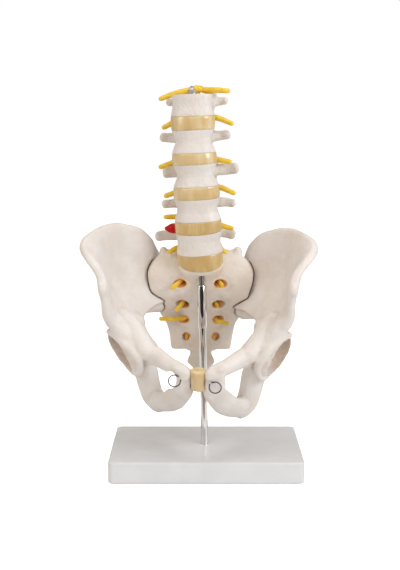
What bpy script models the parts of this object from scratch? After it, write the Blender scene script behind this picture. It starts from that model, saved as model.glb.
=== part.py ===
"""Life-size teaching model of the lumbar spine and pelvis, on a pole and a moulded base.

Every size is in millimetres, and MM turns it into Blender's metres as a mesh is made.
Row frame: X to the viewer's right, Y away from the viewer, Z up, origin under the middle of the base.
Pelvis frame: the same directions, with its origin where the stud at the pole's top enters the sacrum.
Body frame of a vertebra: origin in the middle of its body, Y towards its spinous process.
Bones are lofted struts and sheets, fused into one skin by a voxel remesh, smoothed and reduced.
"""

import math

import bmesh
import bpy
from mathutils import Matrix, Vector

MM = 0.001

# Fits between pieces
SEAT_GAP = 0.35
JOINT_GAP = 0.8
BORE_CLEARANCE = 0.35

# Moulded base
BASE_WIDTH = 220
BASE_DEPTH = 150
BASE_HEIGHT = 25
BASE_CORNER = 7
BASE_EDGE = 2.5
BASE_WALL = 3
BASE_RIB = 3
BASE_BOSS = 26
SOCKET_DEPTH = 17
SOCKET_SHIFT = -1.5

# Pole
POLE_DIAMETER = 8.4
POLE_LENGTH = 188.5
POLE_LEAN = 1.05
SLEEVE_DIAMETER = 10.8
SLEEVE_LENGTH = 50
SLEEVE_CAP = 6
STUD_DIAMETER = 6.2
STUD_SHOWN = 10.5
STUD_IN_BONE = 3
PELVIS_SHIFT = -1.85
PELVIS_FORWARD = 1.5
PELVIS_YAW = 1.5

# Lumbar column, from the sacrum up
ORDER = ("L5", "L4", "L3", "L2", "L1")
BODY_HEIGHT = 25
BODY_DEPTH = 34
WIDTHS = {"L1": 49.5, "L2": 49.5, "L3": 51, "L4": 53, "L5": 53}
TOP_SHARES = {"L1": 0.92, "L2": 0.97, "L3": 0.97, "L4": 0.98, "L5": 1}
WAIST_SHARES = {"L1": 0.9, "L2": 0.83, "L3": 0.83, "L4": 0.87, "L5": 0.94}
DISC_HEIGHTS = {"L1": 15, "L2": 14.3, "L3": 14, "L4": 14.2, "L5": 12.5}
TILTS = {"L1": 0, "L2": 1, "L3": 3, "L4": 7, "L5": 12}
LEANS = {"L1": 1.5, "L2": 2.5, "L3": 3.5, "L4": 3, "L5": 2.5}
TURNS = {"L1": 9, "L2": 2, "L3": 8, "L4": 2, "L5": -8}
DISC_BULGE = 1.2

# Transverse processes: reach from the midline, height of the tip, half height of the tip
TRANSVERSE = {
    "L1": (35, 5, 4.6),
    "L2": (41, 6, 5.4),
    "L3": (46, 5, 6.4),
    "L4": (43, 8, 5.2),
    "L5": (48.5, 8, 6.3),
}

# Vertebral arch
PEDICLE_OUT = 16
FACET_OUT = 17
FACET_TOP = 18
FACET_LOW = -27
ARCH_BACK = 44
SPINE_BACK = 70
CANAL_BACK = 26

# Sacrum
ENDPLATE_TILT = 42
ENDPLATE_WIDTH = 52
PROMONTORY = (-4, 2)
SACRAL_DEPTH = 26

# Rod through the vertebral bodies, with its washer and nut
ROD_DIAMETER = 5
ROD_IN_SACRUM = 18
ROD_ABOVE = 7
NUT_ACROSS = 8
NUT_HEIGHT = 4
WASHER_DIAMETER = 11
WASHER_THICKNESS = 1

# Nerves
CORD_RADIUS = 4.6
CORD_ABOVE = 19
ROOT_RADIUS = 2.7
SACRAL_ROOT_RADIUS = 2.3
LOW_ROOT_RADIUS = 3.2

# Fixings between the bones
SCREW_HEAD = 9
SCREW_HEAD_HEIGHT = 3.5
SCREW_SHANK = 4
SCREW_LENGTH = 34
RING_WIRE = 1.0
RING_RADIUS = 6.4
RING_SHANK = 9
HIP_PITCH = 2.0
HIP_PIVOT = (0, -84, -45)
SYMPHYSIS_WIDTH = 17

# Reduced meshes
HIP_FACES = 1330
SACRUM_FACES = 1180
VERTEBRA_FACES = 404


def material(name, colour, roughness, metallic=0.0):
    """A plain finish for one kind of piece."""
    made = bpy.data.materials.new(name)
    made.use_nodes = True
    shader = made.node_tree.nodes["Principled BSDF"]
    shader.inputs["Base Color"].default_value = (*colour, 1)
    shader.inputs["Roughness"].default_value = roughness
    shader.inputs["Metallic"].default_value = metallic
    made.diffuse_color = (*colour, 1)
    return made


def spline(stations, per_span=4):
    """Rows of numbers on a smooth curve through the stations, end rows included."""
    rows = []
    last = len(stations) - 1
    for i in range(last):
        a, b, c, d = (stations[min(max(i + k, 0), last)] for k in (-1, 0, 1, 2))
        for step in range(per_span):
            t = step / per_span
            rows.append([
                0.5 * (2 * q + (r - p) * t + (2 * p - 5 * q + 4 * r - s) * t**2 + (3 * q - p - 3 * r + s) * t**3)
                for p, q, r, s in zip(a, b, c, d)
            ])
    rows.append(list(stations[last]))
    return rows


def skin(rings):
    """A closed shell through rings of points, which are all as long. A ring of one point is a tip."""
    shell = bmesh.new()
    loops = [[shell.verts.new(Vector(p) * MM) for p in ring] for ring in rings]
    for lower, upper in zip(loops, loops[1:]):
        count = max(len(lower), len(upper))
        for i in range(count):
            j = (i + 1) % count
            corners = [lower[i % len(lower)], lower[j % len(lower)], upper[j % len(upper)], upper[i % len(upper)]]
            shell.faces.new(dict.fromkeys(corners))
    for loop in (loops[0], loops[-1]):
        if len(loop) > 2:
            shell.faces.new(loop)
    bmesh.ops.recalc_face_normals(shell, faces=shell.faces)
    return shell


def strut(stations, across=(1, 0, 0), sides=12, per_span=4):
    """A bone pillar with domed ends. A station is x, y, z, half size along across, half size the other way."""
    rows = spline(stations, per_span)
    rings = []
    centres = [Vector(row[:3]) for row in rows]
    for i, row in enumerate(rows):
        along = (centres[min(i + 1, len(rows) - 1)] - centres[max(i - 1, 0)]).normalized()
        side = Vector(across)
        side = (side - side.dot(along) * along).normalized()
        other = along.cross(side)

        def ring(size, shift):
            return [
                centres[i] + along * shift
                + side * row[3] * size * math.cos(2 * math.pi * k / sides)
                + other * row[4] * size * math.sin(2 * math.pi * k / sides)
                for k in range(sides)
            ]

        dome = min(row[3], row[4])
        if i == 0:
            rings += [[centres[i] - along * dome], ring(0.7, -0.7 * dome)]
        rings.append(ring(1, 0))
        if i == len(rows) - 1:
            rings += [ring(0.7, 0.7 * dome), [centres[i] + along * dome]]
    return skin(rings)


def lump(centre, radii, axis=(0, 0, 1), detail=3):
    """An ellipsoid whose third radius lies along axis."""
    shell = bmesh.new()
    bmesh.ops.create_icosphere(shell, subdivisions=detail, radius=1)
    turn = Vector(axis).to_track_quat("Z", "Y").to_matrix().to_4x4()
    size = Matrix.Diagonal((*[r * MM for r in radii], 1))
    shell.transform(Matrix.Translation(Vector(centre) * MM) @ turn @ size)
    return shell


def loop_of(points, axis, wire, sides=8, stretch=1.0):
    """A closed round bar through the points, in a ring about axis. Stretch widens its section along axis."""
    rows = spline([*points[-2:], *points, *points[:2]])[8:-5]
    centres = [Vector(row) for row in rows]
    steps = len(centres)
    axis = Vector(axis).normalized()
    shell = bmesh.new()
    loops = []
    for i, centre in enumerate(centres):
        along = (centres[(i + 1) % steps] - centres[i - 1]).normalized()
        out = along.cross(axis).normalized()
        rise = out.cross(along)
        loop = []
        for k in range(sides):
            b = 2 * math.pi * k / sides
            loop.append(shell.verts.new((centre + out * wire * math.cos(b) + rise * stretch * wire * math.sin(b)) * MM))
        loops.append(loop)
    for i, loop in enumerate(loops):
        after = loops[(i + 1) % steps]
        for k in range(sides):
            n = (k + 1) % sides
            shell.faces.new((loop[k], loop[n], after[n], after[k]))
    bmesh.ops.recalc_face_normals(shell, faces=shell.faces)
    return shell


def sheet(middle, thickness, columns, rows):
    """A closed curved sheet. Both arguments are functions of u and v, each from 0 to 1."""
    step = 0.02
    faces = []
    for side in (-0.5, 0.5):
        grid = []
        for j in range(rows + 1):
            for i in range(columns + 1):
                u, v = i / columns, j / rows
                du = middle(min(u + step, 1), v) - middle(max(u - step, 0), v)
                dv = middle(u, min(v + step, 1)) - middle(u, max(v - step, 0))
                grid.append(middle(u, v) + du.cross(dv).normalized() * thickness(u, v) * side)
        faces.append(grid)
    shell = bmesh.new()
    under, over = ([shell.verts.new(p * MM) for p in grid] for grid in faces)
    wide = columns + 1
    for j in range(rows):
        for i in range(columns):
            a, b, c, d = j * wide + i, j * wide + i + 1, (j + 1) * wide + i + 1, (j + 1) * wide + i
            shell.faces.new([under[k] for k in (a, b, c, d)])
            shell.faces.new([over[k] for k in (d, c, b, a)])
    border = [i for i in range(wide)]
    border += [j * wide + columns for j in range(1, rows + 1)]
    border += [rows * wide + i for i in range(columns - 1, -1, -1)]
    border += [j * wide for j in range(rows - 1, 0, -1)]
    for a, b in zip(border, border[1:] + border[:1]):
        shell.faces.new((under[a], over[a], over[b], under[b]))
    bmesh.ops.recalc_face_normals(shell, faces=shell.faces)
    return shell


def mirrored(shells):
    """Copies of the shells on the other side of the midplane."""
    copies = []
    for shell in shells:
        copy = shell.copy()
        copy.transform(Matrix.Scale(-1, 4, (1, 0, 0)))
        bmesh.ops.reverse_faces(copy, faces=copy.faces)
        copies.append(copy)
    return copies


def object_of(name, shells):
    """One object that holds the shells."""
    mesh = bpy.data.meshes.new(name)
    whole = bmesh.new()
    for shell in shells:
        shell.to_mesh(mesh)
        whole.from_mesh(mesh)
    whole.to_mesh(mesh)
    made = bpy.data.objects.new(name, mesh)
    bpy.context.scene.collection.objects.link(made)
    return made


def settle(obj):
    """Turns the object's modifiers into its mesh."""
    bpy.context.view_layer.update()
    graph = bpy.context.evaluated_depsgraph_get()
    mesh = bpy.data.meshes.new_from_object(obj.evaluated_get(graph))
    obj.modifiers.clear()
    old, obj.data = obj.data, mesh
    bpy.data.meshes.remove(old)
    return obj


def fuse(obj, voxel, rounds):
    """Melts overlapping shells into one smooth skin."""
    remesh = obj.modifiers.new("one skin", "REMESH")
    remesh.mode = "VOXEL"
    remesh.voxel_size = voxel * MM
    smooth = obj.modifiers.new("blend", "SMOOTH")
    smooth.iterations = rounds
    return settle(obj)


def reduce_to(obj, faces):
    """Thins the skin to about that many triangles."""
    obj.modifiers.new("triangles", "TRIANGULATE")
    settle(obj)
    fewer = obj.modifiers.new("fewer", "DECIMATE")
    fewer.ratio = min(1, faces / len(obj.data.polygons))
    return settle(obj)


def carve(obj, cutter):
    """Cuts the cutter out of the object, and removes the cutter."""
    cut = obj.modifiers.new("cut", "BOOLEAN")
    cut.operation = "DIFFERENCE"
    cut.solver = "EXACT"
    cut.object = cutter
    settle(obj)
    bpy.data.objects.remove(cutter)
    return obj


def swollen(obj, gap):
    """A cutter of the object's shape, larger by the gap all over."""
    grown = twin(obj, "swollen")
    shell = bmesh.new()
    shell.from_mesh(grown.data)
    shell.normal_update()
    for vert in shell.verts:
        vert.co += vert.normal * gap * MM
    shell.to_mesh(grown.data)
    return grown


def bone(name, shells, faces, pose, cuts=(), voxel=1.4, rounds=10):
    """A moulded bone at its pose: fused, hollowed by the cuts, blended again and reduced."""
    made = fuse(object_of(name, shells), voxel, rounds)
    if cuts:
        carve(made, object_of("hollows", cuts))
        fuse(made, voxel, 3)
    reduce_to(made, faces)
    made.matrix_world = pose
    return made


def finish(obj, finish_material, angle=50):
    """Gives the piece its colour and smooth shading with crisp edges."""
    obj.data.materials.clear()
    obj.data.materials.append(finish_material)
    obj.data.shade_smooth()
    obj.data.set_sharp_from_angle(angle=math.radians(angle))
    return obj


def turned(name, profile, centre=(0, 0), sides=24):
    """A round piece from radius and height pairs that run down its outer side, on the vertical through centre."""
    rings = []
    for radius, height in profile:
        if radius == 0:
            rings.append([(*centre, height)])
        else:
            rings.append([
                (centre[0] + radius * math.cos(2 * math.pi * k / sides),
                 centre[1] + radius * math.sin(2 * math.pi * k / sides), height)
                for k in range(sides)
            ])
    return object_of(name, [skin(rings)])


def turned_tube(name, profile, sides=20):
    """A round piece with a hole right through: the profile of radius and height closes on itself."""
    shell = bmesh.new()
    loops = []
    for k in range(sides):
        a = 2 * math.pi * k / sides
        loops.append([shell.verts.new(Vector((r * math.cos(a), r * math.sin(a), z)) * MM) for r, z in profile])
    for k, loop in enumerate(loops):
        after = loops[(k + 1) % sides]
        for i in range(len(profile)):
            j = (i + 1) % len(profile)
            shell.faces.new((loop[i], after[i], after[j], loop[j]))
    bmesh.ops.recalc_face_normals(shell, faces=shell.faces)
    return object_of(name, [shell])


def rounded_box(width, depth, low, high, corner, sides=5):
    """An upright block with round vertical corners."""
    outline = []
    for cx, cy, start in ((1, 1, 0), (-1, 1, 90), (-1, -1, 180), (1, -1, 270)):
        for k in range(sides + 1):
            a = math.radians(start + 90 * k / sides)
            outline.append((cx * (width / 2 - corner) + corner * math.cos(a),
                            cy * (depth / 2 - corner) + corner * math.sin(a)))
    return skin([[(x, y, z) for x, y in outline] for z in (low, high)])


def pole_pose():
    """Pole frame in the row frame, in metres: its foot at the base's top, its Z along the pole."""
    stand = Matrix.Translation(Vector((SOCKET_SHIFT, 0, BASE_HEIGHT)) * MM)
    return stand @ Matrix.Rotation(math.radians(-POLE_LEAN), 4, "Y")


def pelvis_pose():
    """Pelvis frame in the row frame, in metres."""
    top = pole_pose() @ Vector((0, 0, (POLE_LENGTH + STUD_SHOWN) * MM))
    seat = top + Vector((PELVIS_SHIFT, -PELVIS_FORWARD, 0)) * MM
    return Matrix.Translation(seat) @ Matrix.Rotation(math.radians(-PELVIS_YAW), 4, "Z")


def turn_of(tilt, lean, turn=0):
    """Tilt lowers the front, lean takes the top to the viewer's left, turn takes the back to the right."""
    return (
        Matrix.Rotation(math.radians(-lean), 4, "Y")
        @ Matrix.Rotation(math.radians(tilt), 4, "X")
        @ Matrix.Rotation(math.radians(-turn), 4, "Z")
    )


def endplate_pose():
    """Top face of the sacrum in the pelvis frame, in millimetres."""
    tilt = math.radians(ENDPLATE_TILT)
    half = BODY_DEPTH / 2
    centre = (0, PROMONTORY[0] + half * math.cos(tilt), PROMONTORY[1] + half * math.sin(tilt))
    return Matrix.Translation(centre) @ turn_of(ENDPLATE_TILT, 0)


def column_poses():
    """Middle of each vertebral body in the pelvis frame, in millimetres, stacked from the sacrum up."""
    poses = {}
    foot = endplate_pose().translation
    tilt, lean = ENDPLATE_TILT, 0
    for level in ORDER:
        between = turn_of((tilt + TILTS[level]) / 2, (lean + LEANS[level]) / 2)
        tilt, lean = TILTS[level], LEANS[level]
        foot = foot + between @ Vector((0, 0, DISC_HEIGHTS[level]))
        own = turn_of(tilt, lean)
        middle = foot + own @ Vector((0, 0, BODY_HEIGHT / 2))
        poses[level] = Matrix.Translation(middle) @ turn_of(tilt, lean, TURNS[level])
        foot = foot + own @ Vector((0, 0, BODY_HEIGHT))
    return poses


def in_metres(pose):
    """The same pose with its place in metres."""
    moved = pose.copy()
    moved.translation = pose.translation * MM
    return moved


def kidney(width, depth, height, sides=24):
    """Outline of a vertebral body: full in front, flat and a little hollow behind."""
    hollow = 0.07 * depth
    points = []
    for k in range(sides):
        a = 2 * math.pi * k / sides
        x = math.copysign(abs(math.cos(a)) ** 0.88, math.cos(a)) * width / 2
        s = math.sin(a)
        y = s * depth / 2 if s < 0 else s**0.75 * depth / 2 - hollow * math.exp(-((4 * x / width) ** 2))
        points.append((x, y, height))
    return points


def vertebra_shells(level):
    """The shells of one lumbar vertebra in its body frame."""
    width = WIDTHS[level]
    half = BODY_HEIGHT / 2
    reach, rise, tip = TRANSVERSE[level]
    waist, top = WAIST_SHARES[level], TOP_SHARES[level]
    body = [(-half - 2, 0.98), (-half + 1, 1), (-0.55 * half, (1 + waist) / 2), (-0.15 * half, waist),
            (0.25 * half, waist), (0.6 * half, (top + waist) / 2), (half - 1, top), (half + 2, top - 0.02)]
    shells = [skin([kidney(width * s, BODY_DEPTH * s, z) for z, s in body])]
    shells.append(strut([
        (0, ARCH_BACK - 4, -4, 3.4, 8), (0, ARCH_BACK + 8, -7, 3.2, 9), (0, SPINE_BACK - 8, -9, 3.4, 10.5),
        (0, SPINE_BACK - 3, -10, 4.2, 11)]))
    side = [
        strut([(PEDICLE_OUT - 3, 10, 5, 5, 7.5), (PEDICLE_OUT, 21, 5, 4.6, 7), (PEDICLE_OUT + 1, 31, 3, 5, 7)]),
        strut([
            (FACET_OUT + 1, 33, FACET_TOP - 5, 4.2, 5.5), (FACET_OUT, 33, 9, 5.2, 6),
            (FACET_OUT - 3, 35, -5, 5, 5.5), (FACET_OUT - 7, 38.5, -16, 5, 5),
            (FACET_OUT - 7.5, 39.5, FACET_LOW + 4, 4.4, 4)]),
        strut([(FACET_OUT - 4, 36, -2, 8, 3.4), (8, ARCH_BACK - 3, -5, 9, 3.2), (0, ARCH_BACK, -7, 8, 3.2)],
              across=(0, 0, 1)),
        strut([(PEDICLE_OUT, 28, 4, 7, 5), (0.7 * reach, 31, 4 + 0.45 * (rise - 4), 1.05 * tip, 3.4),
               (reach - 3, 28, rise, tip, 3)], across=(0, 0, 1)),
    ]
    return shells + side + mirrored(side)


def sacrum_shells():
    """The sacrum and coccyx, moulded in one piece, in the pelvis frame."""
    top = endplate_pose()
    body = [(2, 0.98), (-1, 1), (-6, 0.93), (-14, 0.86), (-SACRAL_DEPTH, 0.84)]
    rings = [[top @ Vector(p) for p in kidney(ENDPLATE_WIDTH * s, BODY_DEPTH * s, z)] for z, s in body]
    shells = [skin(rings)]
    shells.append(strut([
        (0, 22, -4, 25, 14), (0, 30, -20, 23, 12.5), (0, 38, -36, 20, 10.5), (0, 44.5, -52, 18, 8.5),
        (0, 48, -68, 17, 7.5), (0, 48, -84, 16, 6.5), (0, 46, -93, 15, 5.8), (0, 43.5, -99, 13.5, 5),
        (0, 40.5, -105, 16.5, 4.6), (0, 38, -110, 17.5, 4.2), (0, 34, -117, 9, 3.6), (0, 28, -124, 5, 3)]))
    # Wings: height, half width, front face at the rim, thickness at the rim
    levels = [(27, 41, 22, 10), (20, 50, 14.5, 16), (14, 56, 10.5, 20), (3, 61.5, 8, 25), (-8, 61, 8.5, 26),
              (-21, 57.5, 13, 24), (-36, 52, 24, 18), (-49, 48.5, 33, 14), (-63, 41, 39, 10), (-77, 38, 42, 8.5),
              (-90, 36.5, 43, 7.5), (-95, 35.5, 42.5, 6.5)]
    smooth_levels = spline(levels, 4)

    def level_at(v):
        place = v * (len(smooth_levels) - 1)
        low = min(int(place), len(smooth_levels) - 2)
        share = place - low
        return [a + (b - a) * share for a, b in zip(smooth_levels[low], smooth_levels[low + 1])]

    def wing_middle(u, v):
        height, half, front, thick = level_at(v)
        across = 2 * u - 1
        hollow = 5 * (1 - across**2) * max(0, 1 - 1.6 * v)
        return Vector((across * half, front + thick / 2 + hollow, height))

    def wing_thickness(u, v):
        return level_at(v)[3] * (1 - 0.3 * (2 * u - 1) ** 4)

    shells.append(sheet(wing_middle, wing_thickness, 16, 30))
    shells.append(strut([(0, 50, 5, 30, 5), (0, 54, -10, 29, 5), (0, 57, -26, 26, 5), (0, 58.5, -42, 22, 5),
                         (0, 57.5, -57, 17, 4.5)]))
    shells.append(strut([(0, 60, 4, 3.2, 6), (0, 63, -14, 3.2, 6), (0, 65, -30, 3, 5.5), (0, 64, -46, 3, 5),
                         (0, 60, -60, 3, 4)]))
    side = [
        strut([(36, 24, 6, 8, 7), (42, 24, 18, 6.5, 6.5), (43.5, 24, 27, 5.4, 5.6)]),
        strut([(25, 40, 4, 8, 7), (24, 40, 20, 6, 5.5), (FACET_OUT + 3, 40, 33, 4.6, 5)]),
        strut([(29, 38, 4, 8, 9), (29, 44, -12, 8, 9), (26, 49, -28, 7, 8), (22, 52, -44, 6, 7), (18, 53, -60, 5, 6)]),
        strut([(13, 50, -84, 3, 4), (15, 49, -96, 2.6, 3)]),
    ]
    return shells + side + mirrored(side)


# Pelvic openings of the sacrum, one pair for each row: side, front of the tunnel, height, half width, half height
FORAMINA = ((23, 5, -11, 7.5, 5.2), (19, 21, -36.5, 7, 6), (19.7, 32, -57.3, 6.4, 5.8), (16.3, 39, -78, 4.2, 5.4))
# The lowest pair ends blind, this far behind its front
BLIND_DEPTH = 9
SACRAL_CANAL = ((0, 30, 36, 12, 7), (0, 37, 14, 12, 7), (0, 43, -6, 11, 6), (0, 47.5, -24, 9, 5), (0, 51, -42, 7, 4),
                (0, 53, -60, 5, 3), (0, 53, -72, 4, 2.6))


def sacrum_hollows():
    """The canal and the four pairs of openings, as cutters in the pelvis frame."""
    cuts = [strut(SACRAL_CANAL, sides=10)]
    side = []
    for out, front, height, wide, high in FORAMINA:
        mouth = [(out + 5, front - 8, height - 3, 1.5 * wide, 1.3 * high), (out + 1, front + 5, height, wide, high)]
        if (out, front, height, wide, high) == FORAMINA[-1]:
            tunnel = [(out, front + BLIND_DEPTH, height + 1, 0.8 * wide, 0.8 * high)]
        else:
            tunnel = [(out - 3, front + 14, height + 3, 0.7 * wide, 0.8 * high),
                      (out - 2, front + 30, height + 5, 3.2, 3.2), (out, front + 50, height + 6, 3.4, 3.4)]
        side.append(strut(mouth + tunnel, sides=10))
    return cuts + side + mirrored(side)


# Crest of the ilium from its front spine to its rear spine: x, y, z, half width, half height
CREST = ((103, -80, -4, 4.6, 6), (107, -73, 11, 4.6, 5), (116, -65, 23, 4.8, 5), (126.5, -51, 36.5, 5.5, 5.5),
         (124, -41, 45, 5, 5), (117, -29, 50, 4.6, 4.6), (108.5, -15, 54, 4.5, 4.5), (98, -2, 55, 4.5, 4.5),
         (86, 8, 52.5, 4.6, 4.6), (70.7, 19, 45.7, 5, 5), (61, 29, 32.5, 6, 6), (57, 38, 19, 7, 7),
         (52, 46, 9, 7.5, 7.5), (47, 53, 0, 8, 8), (42, 58, -9, 7.5, 7.5))
# Root of the wing from the lower front spine, over the socket, to the lower rear spine
WING_ROOT = ((97, -61, -39), (93, -52, -47), (87, -40, -52), (81, -26, -53), (75.5, -11, -51), (71, 2, -46.5),
             (65.5, 13, -43), (58, 24, -40.5), (51, 35, -40))
FOSSA_DEPTH = 7
# How far the wing draws in behind its front border
FRONT_HOLLOW = 8
WING_THICKNESS = 6
ROOT_THICKNESS = 16
REAR_THICKNESS = 12
SOCKET_CENTRE = (86, -41, -82)
SOCKET_AXIS = (0.79, -0.42, -0.45)
# The cup across, along its height and in depth
SOCKET_RADII = (22, 26, 19)
# Rim of the socket, from its top over the rear and the notch below to the front
SOCKET_RIM = ((100.5, -45.5, -57.5), (99.5, -31, -62), (96, -21.5, -72), (92, -17.5, -83), (84, -19, -94.5),
              (78.5, -25, -104), (73.5, -36, -108), (67.5, -47, -106), (64.5, -57, -97), (68.5, -63, -84),
              (79, -64, -70), (91.5, -57.5, -60))
RIM_WIRE = 3.3


def on_curve(stations, per_span=6):
    """A function from 0 to 1 along the smooth curve through the stations."""
    rows = spline(stations, per_span)

    def at(t):
        place = t * (len(rows) - 1)
        low = min(int(place), len(rows) - 2)
        share = place - low
        return Vector([a + (b - a) * share for a, b in zip(rows[low][:3], rows[low + 1][:3])])

    return at


def hip_shells():
    """The hip bone of the model's left side, in the pelvis frame."""
    crest, root = on_curve(CREST), on_curve(WING_ROOT)
    outwards = Vector((0.7, 0.5, -0.5)).normalized()

    def middle(u, v):
        bulge = 16 * (v * (1 - v)) ** 2 * math.sin(math.pi * u) ** (2 if u < 0.5 else 0.7)
        waist = 9.5 * v**3 * (1 - v) * math.exp(-(((u - 0.2) / 0.14) ** 2))
        return root(u).lerp(crest(u), v) + outwards * (FOSSA_DEPTH * bulge - FRONT_HOLLOW * waist)

    def thickness(u, v):
        rear = REAR_THICKNESS * max(0, u - 0.55) / 0.45
        front = math.exp(-((u / 0.16) ** 2))
        root_share = (1 - 0.6 * front) * (1 - v) ** 3
        return WING_THICKNESS + ROOT_THICKNESS * root_share + 3 * v**4 + rear * (1 - 0.3 * v) + 3.5 * front * v

    axis = Vector(SOCKET_AXIS).normalized()
    socket = Vector(SOCKET_CENTRE)
    return [
        sheet(middle, thickness, 36, 14),
        strut(CREST, across=(0, 0, 1)),
        # Front border with its lower spine
        strut([(103.5, -79, -6, 4.6, 6), (101.5, -73, -20, 4.6, 6), (100, -67, -33, 6, 7), (95.5, -60, -44, 7.5, 9)]),
        # From the lower front spine into the socket, and the smooth front between socket and brim
        strut([(95, -57, -41, 8, 11), (86, -50, -54, 11, 15), (75, -45, -68, 11, 16), (68, -43, -80, 12, 15)]),
        strut([(84, -42, -42, 12, 10), (76, -46, -56, 14, 10), (66, -51, -69, 13, 10), (56, -57, -79, 11, 9)]),
        lump((74, -23, -53), (13, 13, 11)),
        # Lower rear spine, notch and brim
        strut([(50, 32, -41.5, 10.5, 10.5), (60, 21, -41, 9.5, 9.5), (70, 6, -42, 8.5, 9), (73, -12, -50, 9, 9.5),
               (70.5, -25, -61, 9, 10.5), (62.5, -37, -71, 10, 11), (54, -46, -78, 10, 10)], across=(0, 0, 1)),
        strut([(84, -10, -48, 12, 14), (76, -24, -62, 12, 13), (68, -38, -74, 12, 12)], across=(0, 0, 1)),
        lump(socket - 8 * axis, (26.5, 30, 17), axis),
        loop_of(SOCKET_RIM, axis, RIM_WIRE, stretch=1.4),
        # Upper branch of the pubis
        strut([(68, -34, -77, 14, 13), (57, -47, -82, 13.5, 11), (47, -58, -83, 11, 10), (33, -70, -89, 9.5, 8.5),
               (20, -79, -93.5, 9, 8.5), (17, -81, -98, 12, 8.5)], across=(0, 0, 1)),
        # Body of the pubis
        strut([(20, -80, -93, 9.5, 8.5), (19, -76.5, -105, 11.5, 8), (17.5, -70, -116.5, 12.8, 7.5),
               (17, -64, -125, 10.5, 6.5)]),
        # Lower branch
        strut([(17.5, -69, -119, 12.5, 6.5), (25.3, -56, -130.4, 14.2, 6), (34.2, -41, -140.5, 14.6, 6.5),
               (45, -26, -147, 14, 9)], across=(0.77, 0, 0.64)),
        # Ischium
        strut([(70, -32, -92, 15, 16), (62, -23, -108, 14.5, 13), (59, -18, -124, 13.5, 12),
               (54.5, -14, -140, 13, 12), (46.5, -18, -149.5, 12, 11)]),
        # Rear column between the notches
        strut([(70, -10, -66, 10, 13), (66, -6, -84, 7.5, 11), (65, -12, -102, 8, 10)]),
        strut([(64, -4, -86, 5, 5), (57, 7, -88, 3.4, 3.6), (52, 13, -89, 1.8, 2)], across=(0, 0, 1)),
        lump((24, -85.5, -90), (5, 4, 4)),
        lump((103, -82, -4), (5, 5, 7.5)),
    ]


def hip_hollows():
    """The hip socket and its notch, as cutters in the pelvis frame."""
    axis = Vector(SOCKET_AXIS).normalized()
    socket = Vector(SOCKET_CENTRE)
    low = socket + 0.7 * SOCKET_RADII[1] * (Vector((0, 0.1, -1)) + 0.5 * axis).normalized()
    return [
        lump(socket + 1.5 * axis, SOCKET_RADII, axis),
        strut([(*(low - 6 * axis), 4.5, 4), (*(low + 9 * axis), 5, 4.5)], across=(0, 1, 0)),
    ]


# Disc between the pubic bones, from its top down: x, y, z, share of the half width, half depth
SYMPHYSIS = ((0, -84, -91, 0.8, 7), (0, -83, -96, 1.05, 9.5), (0, -81, -101, 1, 9.5), (0, -78.5, -105.5, 0.76, 9),
             (0, -76, -110, 0.72, 9), (0, -72.5, -115, 0.6, 6))
# Wire rings on the front of the pubic bones: centre, angle at which the wire enters the bone, lean of the ring
RINGS = {"right": ((-25.5, -87.4, -102.5), 25, 0), "left": ((18.8, -90.4, -109), 145, 0.2)}
# Screws that hold the hip bones to the sacrum from behind: head, direction
SCREW_AT = (66, 43, -10)
SCREW_WAY = (-0.86, -0.5, 0)


def cylinder(start, end, radius, sides=12):
    """A straight round bar as a shell."""
    start, end = Vector(start), Vector(end)
    turn = (end - start).to_track_quat("Z", "Y")
    rings = []
    for centre in (start, end):
        ring = []
        for k in range(sides):
            a = 2 * math.pi * k / sides
            ring.append(centre + turn @ Vector((radius * math.cos(a), radius * math.sin(a), 0)))
        rings.append(ring)
    return skin(rings)


def disc_shell(above, below, upper_width, lower_width):
    """A disc between two flat end faces, each given as the pose of its middle, in the pelvis frame."""
    rings = []
    count = 4
    for k in range(count + 1):
        t = k / count
        width = lower_width + (upper_width - lower_width) * t
        bulge = DISC_BULGE * math.sin(math.pi * t) ** 0.6 if 0 < t < 1 else 0
        ring = []
        for point in kidney(width + 2 * bulge - 1, BODY_DEPTH + 2 * bulge - 1, 0, 24):
            low = below @ (Vector(point) + Vector((0, 0, SEAT_GAP)))
            high = above @ (Vector(point) - Vector((0, 0, SEAT_GAP)))
            ring.append(low.lerp(high, t))
        rings.append(ring)
    return skin(rings)


def end_face(pose, side):
    """Middle of the upper (1) or lower (-1) face of a vertebral body."""
    return pose @ Matrix.Translation((0, 0, side * BODY_HEIGHT / 2))


def cord_stations(poses):
    """The cord down the canal, as x, y, z and radius in the pelvis frame."""
    stations = [poses["L1"] @ Vector((0, CANAL_BACK, CORD_ABOVE))]
    stations += [poses[level] @ Vector((0, CANAL_BACK, 0)) for level in reversed(ORDER)]
    rows = [(*place, CORD_RADIUS, CORD_RADIUS) for place in stations]
    return rows + [(0, 33, 27, 4.4, 4.4), (0, 38.5, 8, 4, 4), (0, 43, -8, 3.4, 3.4), (0, 46, -20, 2.6, 2.6)]


# Burst jelly of the disc over the fifth vertebra, in the frame of that vertebra's upper face
PROLAPSE = ((-20, 6, 7, 4.5, 4.5), (-27.5, 7, 7.5, 5.2, 5), (-33, 8, 7.5, 3.6, 3.6), (-37, 8.5, 7.5, 1.6, 1.6))


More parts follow.
